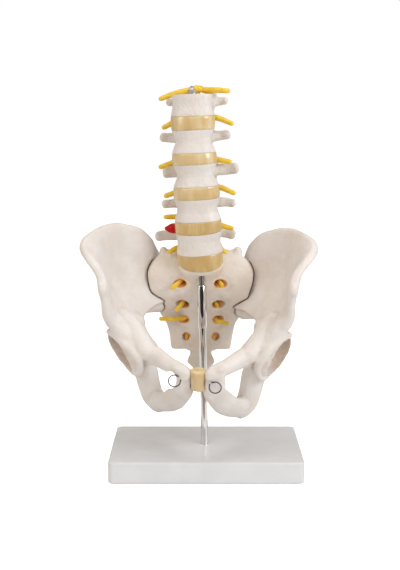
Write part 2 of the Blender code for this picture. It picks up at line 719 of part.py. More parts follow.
# Nerve roots of the column in the frame of the vertebra above: where each leaves the bone, and its tip
LUMBAR_ROOTS = {
    "T12": ("L1", ((-6, 24, 18), (-20, 22, 14.5), (-40, 19, 6.5)), ((7, 24, 17), (20, 22, 17.5), (40, 19, 16.5))),
    "L1": ("L1", ((-16, 22, -15), (-26, 20, -18.4), (-37, 18, -24.5)), ((16, 22, -14), (24, 20, -14), (45, 17, -21.5))),
    "L2": ("L2", ((-16, 22, -17), (-26, 20, -23), (-40, 18, -27.5)), ((16, 22, -17), (24, 20, -21), (41, 18, -23))),
    "L3": ("L3", ((-16, 22, -16), (-25, 20, -19), (-37.5, 18, -23.5)), ((16, 22, -14), (26, 20, -13.5), (44, 17, -19))),
    "L4": ("L4", ((-16, 22, -11), (-26.5, 19, -9), (-40, 18, -8)), ((16, 22, -16), (26.5, 20, -18), (38.5, 18, -21))),
    "L5": ("L5", ((-16, 21, -12), (-27, 16, -8), (-37, 12, -12.5)), ((16, 21, -12), (26, 16, -10), (32.5, 13, -14))),
}
# Nerve roots of the sacrum in the pelvis frame, from inside the bone to the tip
SACRAL_ROOTS = {
    "S1": (((-20, 20, -6), (-25, 6, -8.5), (-32.5, 1.5, -14.5)), ((20, 20, -7), (23.5, 9, -9), (26.2, 4, -12))),
    "S2": (((-17, 36, -32), (-21, 22, -35), (-28.5, 16.5, -43)), ((12, 39, -31), (18, 26, -35.5), (20.5, 20, -39.5))),
    "S3": (((-16, 46, -53), (-21, 31, -55), (-48, 27, -55)), ((15, 46, -54), (19, 31, -57.5), (32.5, 27, -60))),
    "S4": (((-16.3, 47, -76.5), (-16.8, 43.5, -77.7), (-17.4, 39.5, -80.5)),
           ((16.2, 47, -76.5), (16.3, 43.5, -77.7), (15.8, 39.5, -80.5))),
}


def twin(obj, name):
    """A copy of the object with its own mesh."""
    made = obj.copy()
    made.data = obj.data.copy()
    made.name = name
    bpy.context.scene.collection.objects.link(made)
    return made


def clear_of(obj, *others, gap=SEAT_GAP):
    """Cuts the object back from its neighbours by the gap."""
    for other in others:
        carve(obj, swollen(other, gap))
    return obj


def placed(name, shells, pose):
    """An object of the shells at a pose."""
    made = object_of(name, shells)
    made.matrix_world = pose
    return made


def make_base(colour):
    """The base plate: a shell open below, with crossed ribs and a boss that takes the pole."""
    base = object_of("base_plate", [rounded_box(BASE_WIDTH, BASE_DEPTH, 0, BASE_HEIGHT, BASE_CORNER)])
    edge = base.modifiers.new("soft edge", "BEVEL")
    edge.width = BASE_EDGE * MM
    edge.segments = 2
    edge.limit_method = "ANGLE"
    edge.angle_limit = math.radians(60)
    settle(base)
    foot = object_of("foot", [rounded_box(BASE_WIDTH + 10, BASE_DEPTH + 10, -5, 0, BASE_CORNER)])
    carve(base, foot)
    span_x = (BASE_WIDTH - 2 * BASE_WALL - BASE_RIB) / 2
    span_y = (BASE_DEPTH - 2 * BASE_WALL - BASE_RIB) / 2
    for side_x in (-1, 1):
        for side_y in (-1, 1):
            pocket = rounded_box(span_x, span_y, -1, BASE_HEIGHT - BASE_WALL, 4, sides=2)
            pocket.transform(Matrix.Translation(Vector((
                side_x * (span_x + BASE_RIB) / 2, side_y * (span_y + BASE_RIB) / 2, 0)) * MM))
            cutter = object_of("pocket", [pocket])
            carve(cutter, object_of("boss", [cylinder(
                (SOCKET_SHIFT, 0, -2), (SOCKET_SHIFT, 0, BASE_HEIGHT), BASE_BOSS / 2, sides=20)]))
            carve(base, cutter)
    socket = placed("socket", [cylinder(
        (0, 0, -SOCKET_DEPTH), (0, 0, 2), POLE_DIAMETER / 2 + BORE_CLEARANCE, sides=20)], pole_pose())
    carve(base, socket)
    return finish(base, colour, 35)


def make_pole(chrome, steel):
    """The rod, the sleeve over its upper end and the stud that the sacrum screws on to."""
    pose = pole_pose()
    rod_top = POLE_LENGTH - SLEEVE_CAP - SEAT_GAP
    radius = POLE_DIAMETER / 2
    rod = turned("pole_rod", [(0, rod_top), (radius - 1, rod_top), (radius, rod_top - 1),
                              (radius, SEAT_GAP - SOCKET_DEPTH), (0, SEAT_GAP - SOCKET_DEPTH)])
    outer, bore = SLEEVE_DIAMETER / 2, radius + BORE_CLEARANCE
    throat = STUD_DIAMETER / 2 + BORE_CLEARANCE
    foot = POLE_LENGTH - SLEEVE_LENGTH
    roof = POLE_LENGTH - SLEEVE_CAP
    sleeve = turned_tube("pole_sleeve", [
        (throat, POLE_LENGTH), (outer - 0.8, POLE_LENGTH), (outer, POLE_LENGTH - 0.8), (outer, foot + 0.8),
        (outer - 0.8, foot), (bore, foot), (bore, roof), (throat, roof)])
    stud_foot, stud_top = roof + SEAT_GAP, POLE_LENGTH + STUD_SHOWN + STUD_IN_BONE
    radius = STUD_DIAMETER / 2
    stud = turned("pole_stud", [(0, stud_top), (radius - 0.8, stud_top), (radius, stud_top - 0.8),
                                (radius, stud_foot), (0, stud_foot)], sides=16)
    for piece, colour in ((rod, chrome), (sleeve, chrome), (stud, steel)):
        piece.matrix_world = pose
        finish(piece, colour, 40)


def stud_bore():
    """The stud's hole in the sacrum, as a cutter."""
    top = POLE_LENGTH + STUD_SHOWN + STUD_IN_BONE + BORE_CLEARANCE
    return placed("bore", [cylinder(
        (0, 0, POLE_LENGTH + 1), (0, 0, top), STUD_DIAMETER / 2 + BORE_CLEARANCE, sides=16)], pole_pose())


def make_rod(poses, steel, pelvis):
    """The bent rod through the vertebral bodies, with the washer and the nut on top."""
    plate = endplate_pose()
    places = [plate @ Vector((0, 0, -ROD_IN_SACRUM)), plate.translation]
    places += [poses[level].translation for level in ORDER]
    places.append(poses["L1"] @ Vector((0, 0, BODY_HEIGHT / 2 + ROD_ABOVE)))
    radius = ROD_DIAMETER / 2
    rod = placed("column_rod", [strut([(*p, radius, radius) for p in places], sides=8, per_span=2)], pelvis)
    top = pelvis @ in_metres(end_face(poses["L1"], 1))
    hole = radius + BORE_CLEARANCE
    across = WASHER_DIAMETER / 2
    washer = turned_tube("rod_washer", [
        (hole, SEAT_GAP + WASHER_THICKNESS), (across, SEAT_GAP + WASHER_THICKNESS), (across, SEAT_GAP),
        (hole, SEAT_GAP)], sides=24)
    low = 2 * SEAT_GAP + WASHER_THICKNESS
    corner = NUT_ACROSS / 2 / math.cos(math.pi / 6)
    flat = hole / math.cos(math.pi / 6)
    nut = turned_tube("rod_nut", [
        (flat, low + NUT_HEIGHT), (corner - 0.5, low + NUT_HEIGHT), (corner, low + NUT_HEIGHT - 0.5),
        (corner, low), (flat, low)], sides=6)
    for piece in (washer, nut):
        piece.matrix_world = top
    for piece in (rod, washer, nut):
        finish(piece, steel, 30)
    return rod


def make_nerves(levels, poses, pelvis, colour):
    """The cord in the canal, and a pair of roots at each level."""
    cord = placed("spinal_cord", [strut(cord_stations(poses), sides=8, per_span=2)], pelvis)
    finish(cord, colour)
    roots = {}
    for name, (level, *sides) in LUMBAR_ROOTS.items():
        pose = pelvis @ levels[level]
        centre = Vector((0, CANAL_BACK, 0))
        for side, route in zip(("right", "left"), sides):
            start = Vector((centre.x, centre.y, route[0][2] + 3))
            rows = [(*start.lerp(Vector(route[0]), 0.35), ROOT_RADIUS, ROOT_RADIUS)]
            rows += [(*p, ROOT_RADIUS, ROOT_RADIUS) for p in route]
            root = placed(f"nerve_{name}_{side}", [strut(rows, across=(0, 0, 1), sides=6, per_span=2)], pose)
            roots[name, side] = finish(clear_of(root, cord), colour)
    for name, sides in SACRAL_ROOTS.items():
        for side, route in zip(("right", "left"), sides):
            size = LOW_ROOT_RADIUS if name == "S4" else SACRAL_ROOT_RADIUS
            rows = [(*route[0], size, 0.8 * size), (*route[1], 1.2 * size, 0.8 * size), (*route[2], size, 0.5 * size)]
            root = placed(f"nerve_{name}_{side}", [strut(rows, across=(0, 0, 1), sides=6, per_span=2)], pelvis)
            roots[name, side] = finish(root, colour)
    return cord, roots


def ring_wire(centre, gate, lean):
    """A wire that comes out of the bone, bends round a ring and goes back in beside it."""
    rows = []
    for k, turn in enumerate([12] + [25 + 310 * i / 12 for i in range(13)] + [348]):
        a = math.radians(gate + turn)
        height = RING_RADIUS * math.sin(a)
        depth = RING_SHANK if k in (0, 14) else 0
        rows.append((centre[0] + RING_RADIUS * math.cos(a), centre[1] - lean * height + depth, centre[2] + height,
                     RING_WIRE / 2, RING_WIRE / 2))
    return strut(rows, across=(0, 1, 0), sides=6, per_span=1)


def screw(name, pose, sign, steel):
    """A domed screw from the rear of the hip bone into the sacrum."""
    head = Vector((sign * SCREW_AT[0], SCREW_AT[1], SCREW_AT[2]))
    way = Vector((sign * SCREW_WAY[0], SCREW_WAY[1], SCREW_WAY[2])).normalized()
    turn = Matrix.Translation(head * MM) @ (-way).to_track_quat("Z", "Y").to_matrix().to_4x4()
    radius, shank = SCREW_HEAD / 2, SCREW_SHANK / 2
    piece = turned(name, [(0, SCREW_HEAD_HEIGHT), (0.6 * radius, 0.85 * SCREW_HEAD_HEIGHT),
                          (radius, 0.3 * SCREW_HEAD_HEIGHT), (radius, 0), (shank, 0),
                          (shank, -SCREW_LENGTH + 3), (0, -SCREW_LENGTH)], sides=16)
    piece.matrix_world = pose @ turn
    return finish(piece, steel, 40)


def main():
    for old in list(bpy.data.objects):
        bpy.data.objects.remove(old)

    bone_white = material("bone", (0.86, 0.82, 0.77), 0.45)
    disc_gel = material("disc", (0.80, 0.64, 0.38), 0.3)
    nerve_yellow = material("nerve", (0.93, 0.70, 0.06), 0.4)
    prolapse_red = material("prolapse", (0.72, 0.05, 0.04), 0.3)
    chrome = material("chrome", (0.78, 0.78, 0.80), 0.12, 1.0)
    steel = material("steel", (0.6, 0.6, 0.62), 0.3, 1.0)
    base_grey = material("base", (0.80, 0.80, 0.81), 0.45)

    pelvis = pelvis_pose()
    poses = column_poses()
    levels = {level: in_metres(poses[level]) for level in ORDER}

    make_base(base_grey)
    make_pole(chrome, steel)
    rod = make_rod(poses, steel, pelvis)
    cord, roots = make_nerves(levels, poses, pelvis, nerve_yellow)

    # Sacrum, cut flat under the last disc and clear of what passes through it
    sacrum = bone("sacrum", sacrum_shells(), SACRUM_FACES, pelvis, sacrum_hollows())
    smooth_sacrum = twin(sacrum, "smooth_sacrum")
    plate = endplate_pose()
    lid = skin([[plate @ Vector(p) for p in kidney(ENDPLATE_WIDTH + 8, BODY_DEPTH + 6, h)] for h in (0, 9)])
    carve(sacrum, placed("lid", [lid], pelvis))
    carve(sacrum, stud_bore())
    clear_of(sacrum, rod, cord, gap=BORE_CLEARANCE)
    clear_of(sacrum, *[root for (name, side), root in roots.items() if name[0] == "S" or name == "L5"])

    # Disc between the pubic bones
    half = SYMPHYSIS_WIDTH / 2
    pubic_disc = placed("pubic_disc", [strut(
        [(x, y, z, half * share, depth) for x, y, z, share, depth in SYMPHYSIS], sides=14, per_span=2)], pelvis)
    finish(pubic_disc, disc_gel)

    # Hip bones, one the mirror image of the other, each wired on at its own pitch
    half_pelvis = bone("half_pelvis", hip_shells(), HIP_FACES, Matrix.Identity(4), hip_hollows())
    for side, sign in (("left", 1), ("right", -1)):
        hip = twin(half_pelvis, f"{side}_hip_bone")
        hip.data.transform(Matrix.Scale(sign, 4, (1, 0, 0)))
        if sign < 0:
            hip.data.flip_normals()
        pivot = Matrix.Translation(Vector(HIP_PIVOT) * MM)
        pitch = Matrix.Rotation(math.radians(-sign * HIP_PITCH), 4, "X")
        hip.matrix_world = pelvis @ pivot @ pitch @ pivot.inverted()
        fixing = screw(f"{side}_sacroiliac_screw", pelvis, sign, steel)
        ring = placed(f"{side}_pubic_ring", [ring_wire(*RINGS[side])], pelvis)
        clear_of(hip, smooth_sacrum, gap=JOINT_GAP)
        clear_of(hip, pubic_disc, ring, fixing)
        clear_of(sacrum, fixing)
        finish(ring, steel)
        finish(hip, bone_white)
    bpy.data.objects.remove(half_pelvis)

    # Vertebrae, each cut clear of the bone below it, and the discs between them
    below = smooth_sacrum
    seat_width = ENDPLATE_WIDTH
    near = {"L1": ("T12", "L1"), "L2": ("L1", "L2"), "L3": ("L2", "L3"), "L4": ("L3", "L4"), "L5": ("L4", "L5")}
    discs = {}
    for level in ORDER:
        pose = pelvis @ levels[level]
        vertebra = bone(f"{level}_vertebra", vertebra_shells(level), VERTEBRA_FACES, pose, voxel=1.2, rounds=5)
        smooth_vertebra = twin(vertebra, "smooth_vertebra")
        for face in (-1, 1):
            slab = [kidney(WIDTHS[level] + 8, BODY_DEPTH + 3, face * (BODY_HEIGHT / 2 + h)) for h in (0, 8)]
            carve(vertebra, placed("slab", [skin(slab)], pose))
        clear_of(vertebra, below, gap=2 * SEAT_GAP)
        bpy.data.objects.remove(below)
        clear_of(vertebra, rod, gap=BORE_CLEARANCE)
        clear_of(vertebra, *[roots[name, side] for name in near[level] for side in ("left", "right")])
        lower = plate if level == "L5" else end_face(poses[ORDER[ORDER.index(level) - 1]], 1)
        upper = end_face(poses[level], -1)
        under = "S1" if level == "L5" else ORDER[ORDER.index(level) - 1]
        disc = placed(f"disc_{level}_{under}", [disc_shell(upper, lower, WIDTHS[level], seat_width)], pelvis)
        clear_of(disc, rod, gap=BORE_CLEARANCE)
        discs[level] = finish(disc, disc_gel)
        finish(vertebra, bone_white)
        below = smooth_vertebra
        seat_width = WIDTHS[level] * TOP_SHARES[level]
    bpy.data.objects.remove(below)
    finish(sacrum, bone_white)
    bulge = placed("disc_prolapse", [strut(PROLAPSE, across=(0, 0, 1), sides=10, per_span=2)],
                   pelvis @ in_metres(end_face(poses["L5"], 1)))
    clear_of(bulge, discs["L4"], bpy.data.objects["L4_vertebra"], bpy.data.objects["L5_vertebra"])
    finish(bulge, prolapse_red)


main()
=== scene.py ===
"""Looks of the lumbar spine and pelvis model, built around its packed solids.

Every size in the modelling part is in millimetres, and MM turns it into metres as a mesh is made.
Row frame: X to the viewer's right, Y away from the viewer, Z up, origin under the middle of the base.
"""
import math

import bmesh
import bpy
import numpy as np
from mathutils import Matrix, Vector, noise
from mathutils.kdtree import KDTree


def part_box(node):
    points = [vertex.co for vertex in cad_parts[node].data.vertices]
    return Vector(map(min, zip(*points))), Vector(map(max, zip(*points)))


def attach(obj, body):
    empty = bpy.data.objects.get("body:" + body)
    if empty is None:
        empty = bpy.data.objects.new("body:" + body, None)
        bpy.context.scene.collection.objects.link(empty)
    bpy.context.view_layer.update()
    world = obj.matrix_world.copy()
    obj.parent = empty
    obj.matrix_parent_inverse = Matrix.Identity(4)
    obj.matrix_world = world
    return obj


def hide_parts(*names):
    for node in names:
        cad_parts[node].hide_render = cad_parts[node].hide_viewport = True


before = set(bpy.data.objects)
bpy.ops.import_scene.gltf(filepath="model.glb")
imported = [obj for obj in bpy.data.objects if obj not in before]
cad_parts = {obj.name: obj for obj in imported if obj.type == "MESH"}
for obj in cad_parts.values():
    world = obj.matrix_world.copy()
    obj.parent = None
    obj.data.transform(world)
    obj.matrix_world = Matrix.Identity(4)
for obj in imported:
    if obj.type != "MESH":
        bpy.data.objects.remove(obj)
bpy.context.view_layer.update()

bl_info = {
    "name": "Spine and pelvis model",
    "version": (1, 0, 0),
    "blender": (4, 5, 0),
    "location": "View3D > Sidebar > Anatomy",
    "description": "Builds a life-size lumbar spine and pelvis on its stand",
    "category": "Object",
}

MM = 0.001

# Fits between pieces
SEAT_GAP = 0.35
JOINT_GAP = 0.8
BORE_CLEARANCE = 0.35

# Moulded base
BASE_WIDTH = 220
BASE_DEPTH = 150
BASE_HEIGHT = 25
BASE_CORNER = 7
BASE_EDGE = 2.5
BASE_WALL = 3
BASE_RIB = 3
BASE_BOSS = 26
SOCKET_DEPTH = 17
SOCKET_SHIFT = -1.5

# Pole
POLE_DIAMETER = 8.4
POLE_LENGTH = 188.5
POLE_LEAN = 1.05
SLEEVE_DIAMETER = 10.8
SLEEVE_LENGTH = 50
SLEEVE_CAP = 6
STUD_DIAMETER = 6.2
STUD_SHOWN = 10.5
STUD_IN_BONE = 3
STUD_PITCH = 1.5
PELVIS_SHIFT = -1.85
PELVIS_FORWARD = 1.5
PELVIS_YAW = 1.5

# Lumbar column, from the sacrum up
ORDER = ("L5", "L4", "L3", "L2", "L1")
BODY_HEIGHT = 25
BODY_DEPTH = 34
WIDTHS = {"L1": 49.5, "L2": 49.5, "L3": 51, "L4": 53, "L5": 53}
TOP_SHARES = {"L1": 0.92, "L2": 0.97, "L3": 0.97, "L4": 0.98, "L5": 1}
WAIST_SHARES = {"L1": 0.9, "L2": 0.83, "L3": 0.83, "L4": 0.87, "L5": 0.94}
DISC_HEIGHTS = {"L1": 15, "L2": 14.3, "L3": 14, "L4": 14.2, "L5": 12.5}
TILTS = {"L1": 0, "L2": 1, "L3": 3, "L4": 7, "L5": 12}
LEANS = {"L1": 1.5, "L2": 2.5, "L3": 3.5, "L4": 3, "L5": 2.5}
TURNS = {"L1": 9, "L2": 2, "L3": 8, "L4": 2, "L5": -8}
DISC_GAP = 0.05

# Transverse processes: reach from the midline, height of the tip, half height of the tip
TRANSVERSE = {
    "L1": (36.3, 5, 4.6),
    "L2": (41, 6, 5.4),
    "L3": (46, 5, 6.4),
    "L4": (43, 4.2, 5.2),
    "L5": (48.5, 4.8, 6.3),
}

# Vertebral arch
PEDICLE_OUT = 16
FACET_OUT = 17
FACET_TOP = 18
FACET_LOW = -27
ARCH_BACK = 44
SPINE_BACK = 70
CANAL_BACK = 26

# Sacrum
ENDPLATE_TILT = 42
ENDPLATE_WIDTH = 52
PROMONTORY = (-4, 2)
SACRAL_DEPTH = 26

# Nerves
CORD_RADIUS = 4.6
CORD_ABOVE = 19
ROOT_RADIUS = 2.7
SACRAL_ROOT_RADIUS = 2.3
LOW_ROOT_RADIUS = 3.2

# Fixings between the bones
RING_WIRE = 1.35
RING_RADIUS = 6.6
RING_SHANK = 9
HIP_PITCH = 2.0
HIP_PIVOT = (0, -84, -45)
SYMPHYSIS_WIDTH = 17


def spline(stations, per_span=4):
    """Rows of numbers on a smooth curve through the stations, end rows included."""
    rows = []
    last = len(stations) - 1
    for i in range(last):
        a, b, c, d = (stations[min(max(i + k, 0), last)] for k in (-1, 0, 1, 2))
        for step in range(per_span):
            t = step / per_span
            rows.append([
                0.5 * (2 * q + (r - p) * t + (2 * p - 5 * q + 4 * r - s) * t**2
                       + (3 * q - p - 3 * r + s) * t**3)
                for p, q, r, s in zip(a, b, c, d)
            ])
    rows.append(list(stations[last]))
    return rows


def on_curve(stations, per_span):
    """A function that gives the row of numbers at 0 to 1 of the way along the curve through the stations."""
    rows = spline(stations, per_span)

    def at(t):
        place = t * (len(rows) - 1)
        low = min(int(place), len(rows) - 2)
        share = place - low
        return [a + (b - a) * share for a, b in zip(rows[low], rows[low + 1])]

    return at


def skin(rings):
    """A closed shell through rings of points, which are all as long. A ring of one point is a tip."""
    shell = bmesh.new()
    loops = [[shell.verts.new(Vector(p) * MM) for p in ring] for ring in rings]
    for lower, upper in zip(loops, loops[1:]):
        count = max(len(lower), len(upper))
        for i in range(count):
            j = (i + 1) % count
            corners = [lower[i % len(lower)], lower[j % len(lower)],
                       upper[j % len(upper)], upper[i % len(upper)]]
            shell.faces.new(dict.fromkeys(corners))
    for loop in (loops[0], loops[-1]):
        if len(loop) > 2:
            shell.faces.new(loop)
    bmesh.ops.recalc_face_normals(shell, faces=shell.faces)
    return shell


def strut(stations, across=(1, 0, 0), sides=12, per_span=4):
    """A bone pillar with domed ends. A station is x, y, z, half size along across, other half size."""
    rows = spline(stations, per_span)
    rings = []
    centres = [Vector(row[:3]) for row in rows]
    for i, row in enumerate(rows):
        along = (centres[min(i + 1, len(rows) - 1)] - centres[max(i - 1, 0)]).normalized()
        side = Vector(across)
        side = (side - side.dot(along) * along).normalized()
        other = along.cross(side)

        def ring(size, shift):
            return [
                centres[i] + along * shift
                + side * row[3] * size * math.cos(2 * math.pi * k / sides)
                + other * row[4] * size * math.sin(2 * math.pi * k / sides)
                for k in range(sides)
            ]

        dome = min(row[3], row[4])
        if i == 0:
            rings += [[centres[i] - along * dome], ring(0.7, -0.7 * dome)]
        rings.append(ring(1, 0))
        if i == len(rows) - 1:
            rings += [ring(0.7, 0.7 * dome), [centres[i] + along * dome]]
    return skin(rings)


def lump(centre, radii, axis=(0, 0, 1), detail=3):
    """An ellipsoid whose third radius lies along axis."""
    shell = bmesh.new()
    bmesh.ops.create_icosphere(shell, subdivisions=detail, radius=1)
    turn = Vector(axis).to_track_quat("Z", "Y").to_matrix().to_4x4()
    size = Matrix.Diagonal((*[r * MM for r in radii], 1))
    shell.transform(Matrix.Translation(Vector(centre) * MM) @ turn @ size)
    return shell


def loop_of(points, axis, wire, sides=8, stretch=1.0):
    """A closed round bar through the points, in a ring about axis. Stretch widens its section along axis."""
    rows = spline([*points[-2:], *points, *points[:2]])[8:-5]
    centres = [Vector(row) for row in rows]
    steps = len(centres)
    axis = Vector(axis).normalized()
    shell = bmesh.new()
    loops = []
    for i, centre in enumerate(centres):
        along = (centres[(i + 1) % steps] - centres[i - 1]).normalized()
        out = along.cross(axis).normalized()
        rise = out.cross(along)
        loop = []
        for k in range(sides):
            b = 2 * math.pi * k / sides
            point = centre + out * wire * math.cos(b) + rise * stretch * wire * math.sin(b)
            loop.append(shell.verts.new(point * MM))
        loops.append(loop)
    for i, loop in enumerate(loops):
        after = loops[(i + 1) % steps]
        for k in range(sides):
            n = (k + 1) % sides
            shell.faces.new((loop[k], loop[n], after[n], after[k]))
    bmesh.ops.recalc_face_normals(shell, faces=shell.faces)
    return shell


def sheet(middle, thickness, columns, rows):
    """A closed curved sheet. Both arguments are functions of u and v, each from 0 to 1."""
    step = 0.02
    faces = []
    for side in (-0.5, 0.5):
        grid = []
        for j in range(rows + 1):
            for i in range(columns + 1):
                u, v = i / columns, j / rows
                du = middle(min(u + step, 1), v) - middle(max(u - step, 0), v)
                dv = middle(u, min(v + step, 1)) - middle(u, max(v - step, 0))
                grid.append(middle(u, v) + du.cross(dv).normalized() * thickness(u, v) * side)
        faces.append(grid)
    shell = bmesh.new()
    under, over = ([shell.verts.new(p * MM) for p in grid] for grid in faces)
    wide = columns + 1
    for j in range(rows):
        for i in range(columns):
            a, b, c, d = j * wide + i, j * wide + i + 1, (j + 1) * wide + i + 1, (j + 1) * wide + i
            shell.faces.new([under[k] for k in (a, b, c, d)])
            shell.faces.new([over[k] for k in (d, c, b, a)])
    border = list(range(wide))
    border += [j * wide + columns for j in range(1, rows + 1)]
    border += [rows * wide + i for i in range(columns - 1, -1, -1)]
    border += [j * wide for j in range(rows - 1, 0, -1)]
    for a, b in zip(border, border[1:] + border[:1]):
        shell.faces.new((under[a], over[a], over[b], under[b]))
    bmesh.ops.recalc_face_normals(shell, faces=shell.faces)
    return shell


def mirrored(shells):
    """Copies of the shells on the other side of the midplane."""
    copies = []
    for shell in shells:
        copy = shell.copy()
        copy.transform(Matrix.Scale(-1, 4, (1, 0, 0)))
        bmesh.ops.reverse_faces(copy, faces=copy.faces)
        copies.append(copy)
    return copies


def object_of(name, shells):
    """One object that holds the shells."""
    mesh = bpy.data.meshes.new(name)
    whole = bmesh.new()
    for shell in shells:
        shell.to_mesh(mesh)
        whole.from_mesh(mesh)
    whole.to_mesh(mesh)
    made = bpy.data.objects.new(name, mesh)
    bpy.context.scene.collection.objects.link(made)
    return made


def settle(obj):
    """Turns the object's modifiers into its mesh."""
    bpy.context.view_layer.update()
    graph = bpy.context.evaluated_depsgraph_get()
    mesh = bpy.data.meshes.new_from_object(obj.evaluated_get(graph))
    obj.modifiers.clear()
    old, obj.data = obj.data, mesh
    bpy.data.meshes.remove(old)
    return obj


def fuse(obj, voxel, rounds):
    """Melts overlapping shells into one smooth skin."""
    remesh = obj.modifiers.new("one skin", "REMESH")
    remesh.mode = "VOXEL"
    remesh.voxel_size = voxel * MM
    smooth = obj.modifiers.new("blend", "SMOOTH")
    smooth.iterations = rounds
    return settle(obj)


def carve(obj, cutter):
    """Cuts the cutter out of the object, and removes the cutter."""
    cut = obj.modifiers.new("cut", "BOOLEAN")
    cut.operation = "DIFFERENCE"
    cut.solver = "MANIFOLD"
    cut.object = cutter
    settle(obj)
    bpy.data.objects.remove(cutter)
    return obj


def swollen(obj, gap):
    """A cutter of the object's shape, larger by the gap all over."""
    grown = twin(obj, "swollen")
    shell = bmesh.new()
    shell.from_mesh(grown.data)
    shell.normal_update()
    for vert in shell.verts:
        vert.co += vert.normal * gap * MM
    shell.to_mesh(grown.data)
    return grown


def rounded_box(width, depth, low, high, corner, sides=5):
    """An upright block with round vertical corners."""
    outline = []
    for cx, cy, start in ((1, 1, 0), (-1, 1, 90), (-1, -1, 180), (1, -1, 270)):
        for k in range(sides + 1):
            a = math.radians(start + 90 * k / sides)
            outline.append((cx * (width / 2 - corner) + corner * math.cos(a),
                            cy * (depth / 2 - corner) + corner * math.sin(a)))
    return skin([[(x, y, z) for x, y in outline] for z in (low, high)])


def pole_pose():
    """Pole frame in the row frame, in metres: its foot at the base's top, its Z along the pole."""
    stand = Matrix.Translation(Vector((SOCKET_SHIFT, 0, BASE_HEIGHT)) * MM)
    return stand @ Matrix.Rotation(math.radians(-POLE_LEAN), 4, "Y")


def pelvis_pose():
    """Pelvis frame in the row frame, in metres."""
    top = pole_pose() @ Vector((0, 0, (POLE_LENGTH + STUD_SHOWN) * MM))
    seat = top + Vector((PELVIS_SHIFT, -PELVIS_FORWARD, 0)) * MM
    return Matrix.Translation(seat) @ Matrix.Rotation(math.radians(-PELVIS_YAW), 4, "Z")


def turn_of(tilt, lean, turn=0):
    """Tilt lowers the front, lean takes the top to the viewer's left, turn takes the back to the right."""
    return (
        Matrix.Rotation(math.radians(-lean), 4, "Y")
        @ Matrix.Rotation(math.radians(tilt), 4, "X")
        @ Matrix.Rotation(math.radians(-turn), 4, "Z")
    )


def endplate_pose():
    """Top face of the sacrum in the pelvis frame, in millimetres."""
    tilt = math.radians(ENDPLATE_TILT)
    half = BODY_DEPTH / 2
    centre = (0, PROMONTORY[0] + half * math.cos(tilt), PROMONTORY[1] + half * math.sin(tilt))
    return Matrix.Translation(centre) @ turn_of(ENDPLATE_TILT, 0)


def column_poses():
    """Middle of each vertebral body in the pelvis frame, in millimetres, stacked from the sacrum up."""
    poses = {}
    foot = endplate_pose().translation
    tilt, lean = ENDPLATE_TILT, 0
    for level in ORDER:
        between = turn_of((tilt + TILTS[level]) / 2, (lean + LEANS[level]) / 2)
        tilt, lean = TILTS[level], LEANS[level]
        foot = foot + between @ Vector((0, 0, DISC_HEIGHTS[level]))
        own = turn_of(tilt, lean)
        middle = foot + own @ Vector((0, 0, BODY_HEIGHT / 2))
        poses[level] = Matrix.Translation(middle) @ turn_of(tilt, lean, TURNS[level])
        foot = foot + own @ Vector((0, 0, BODY_HEIGHT))
    return poses


def in_metres(pose):
    """The same pose with its place in metres."""
    moved = pose.copy()
    moved.translation = pose.translation * MM
    return moved


def kidney(width, depth, height, sides=24):
    """Outline of a vertebral body: full in front, flat and a little hollow behind."""
    hollow = 0.07 * depth
    points = []
    for k in range(sides):
        a = 2 * math.pi * k / sides
        x = math.copysign(abs(math.cos(a)) ** 0.88, math.cos(a)) * width / 2
        s = math.sin(a)
        y = s * depth / 2 if s < 0 else s**0.75 * depth / 2 - hollow * math.exp(-((4 * x / width) ** 2))
        points.append((x, y, height))
    return points


# How far the lower and the upper face of each body, and the sacrum's upper face, lie above their even places
RISES = {"L1": (1.2, 0), "L2": (0.6, 0.7), "L3": (2.3, 2.2), "L4": (2.5, 2.8), "L5": (3.6, 3.3)}
PLATE_RISE = 3.5

# Transverse processes that differ from their pair: reach, rise, half height of the tip
RIGHT_WINGS = {"L4": (43, 1.5, 5.2), "L5": (46.5, -1, 6.3)}
LEFT_WINGS = {"L3": (43.5, 4, 6.8)}


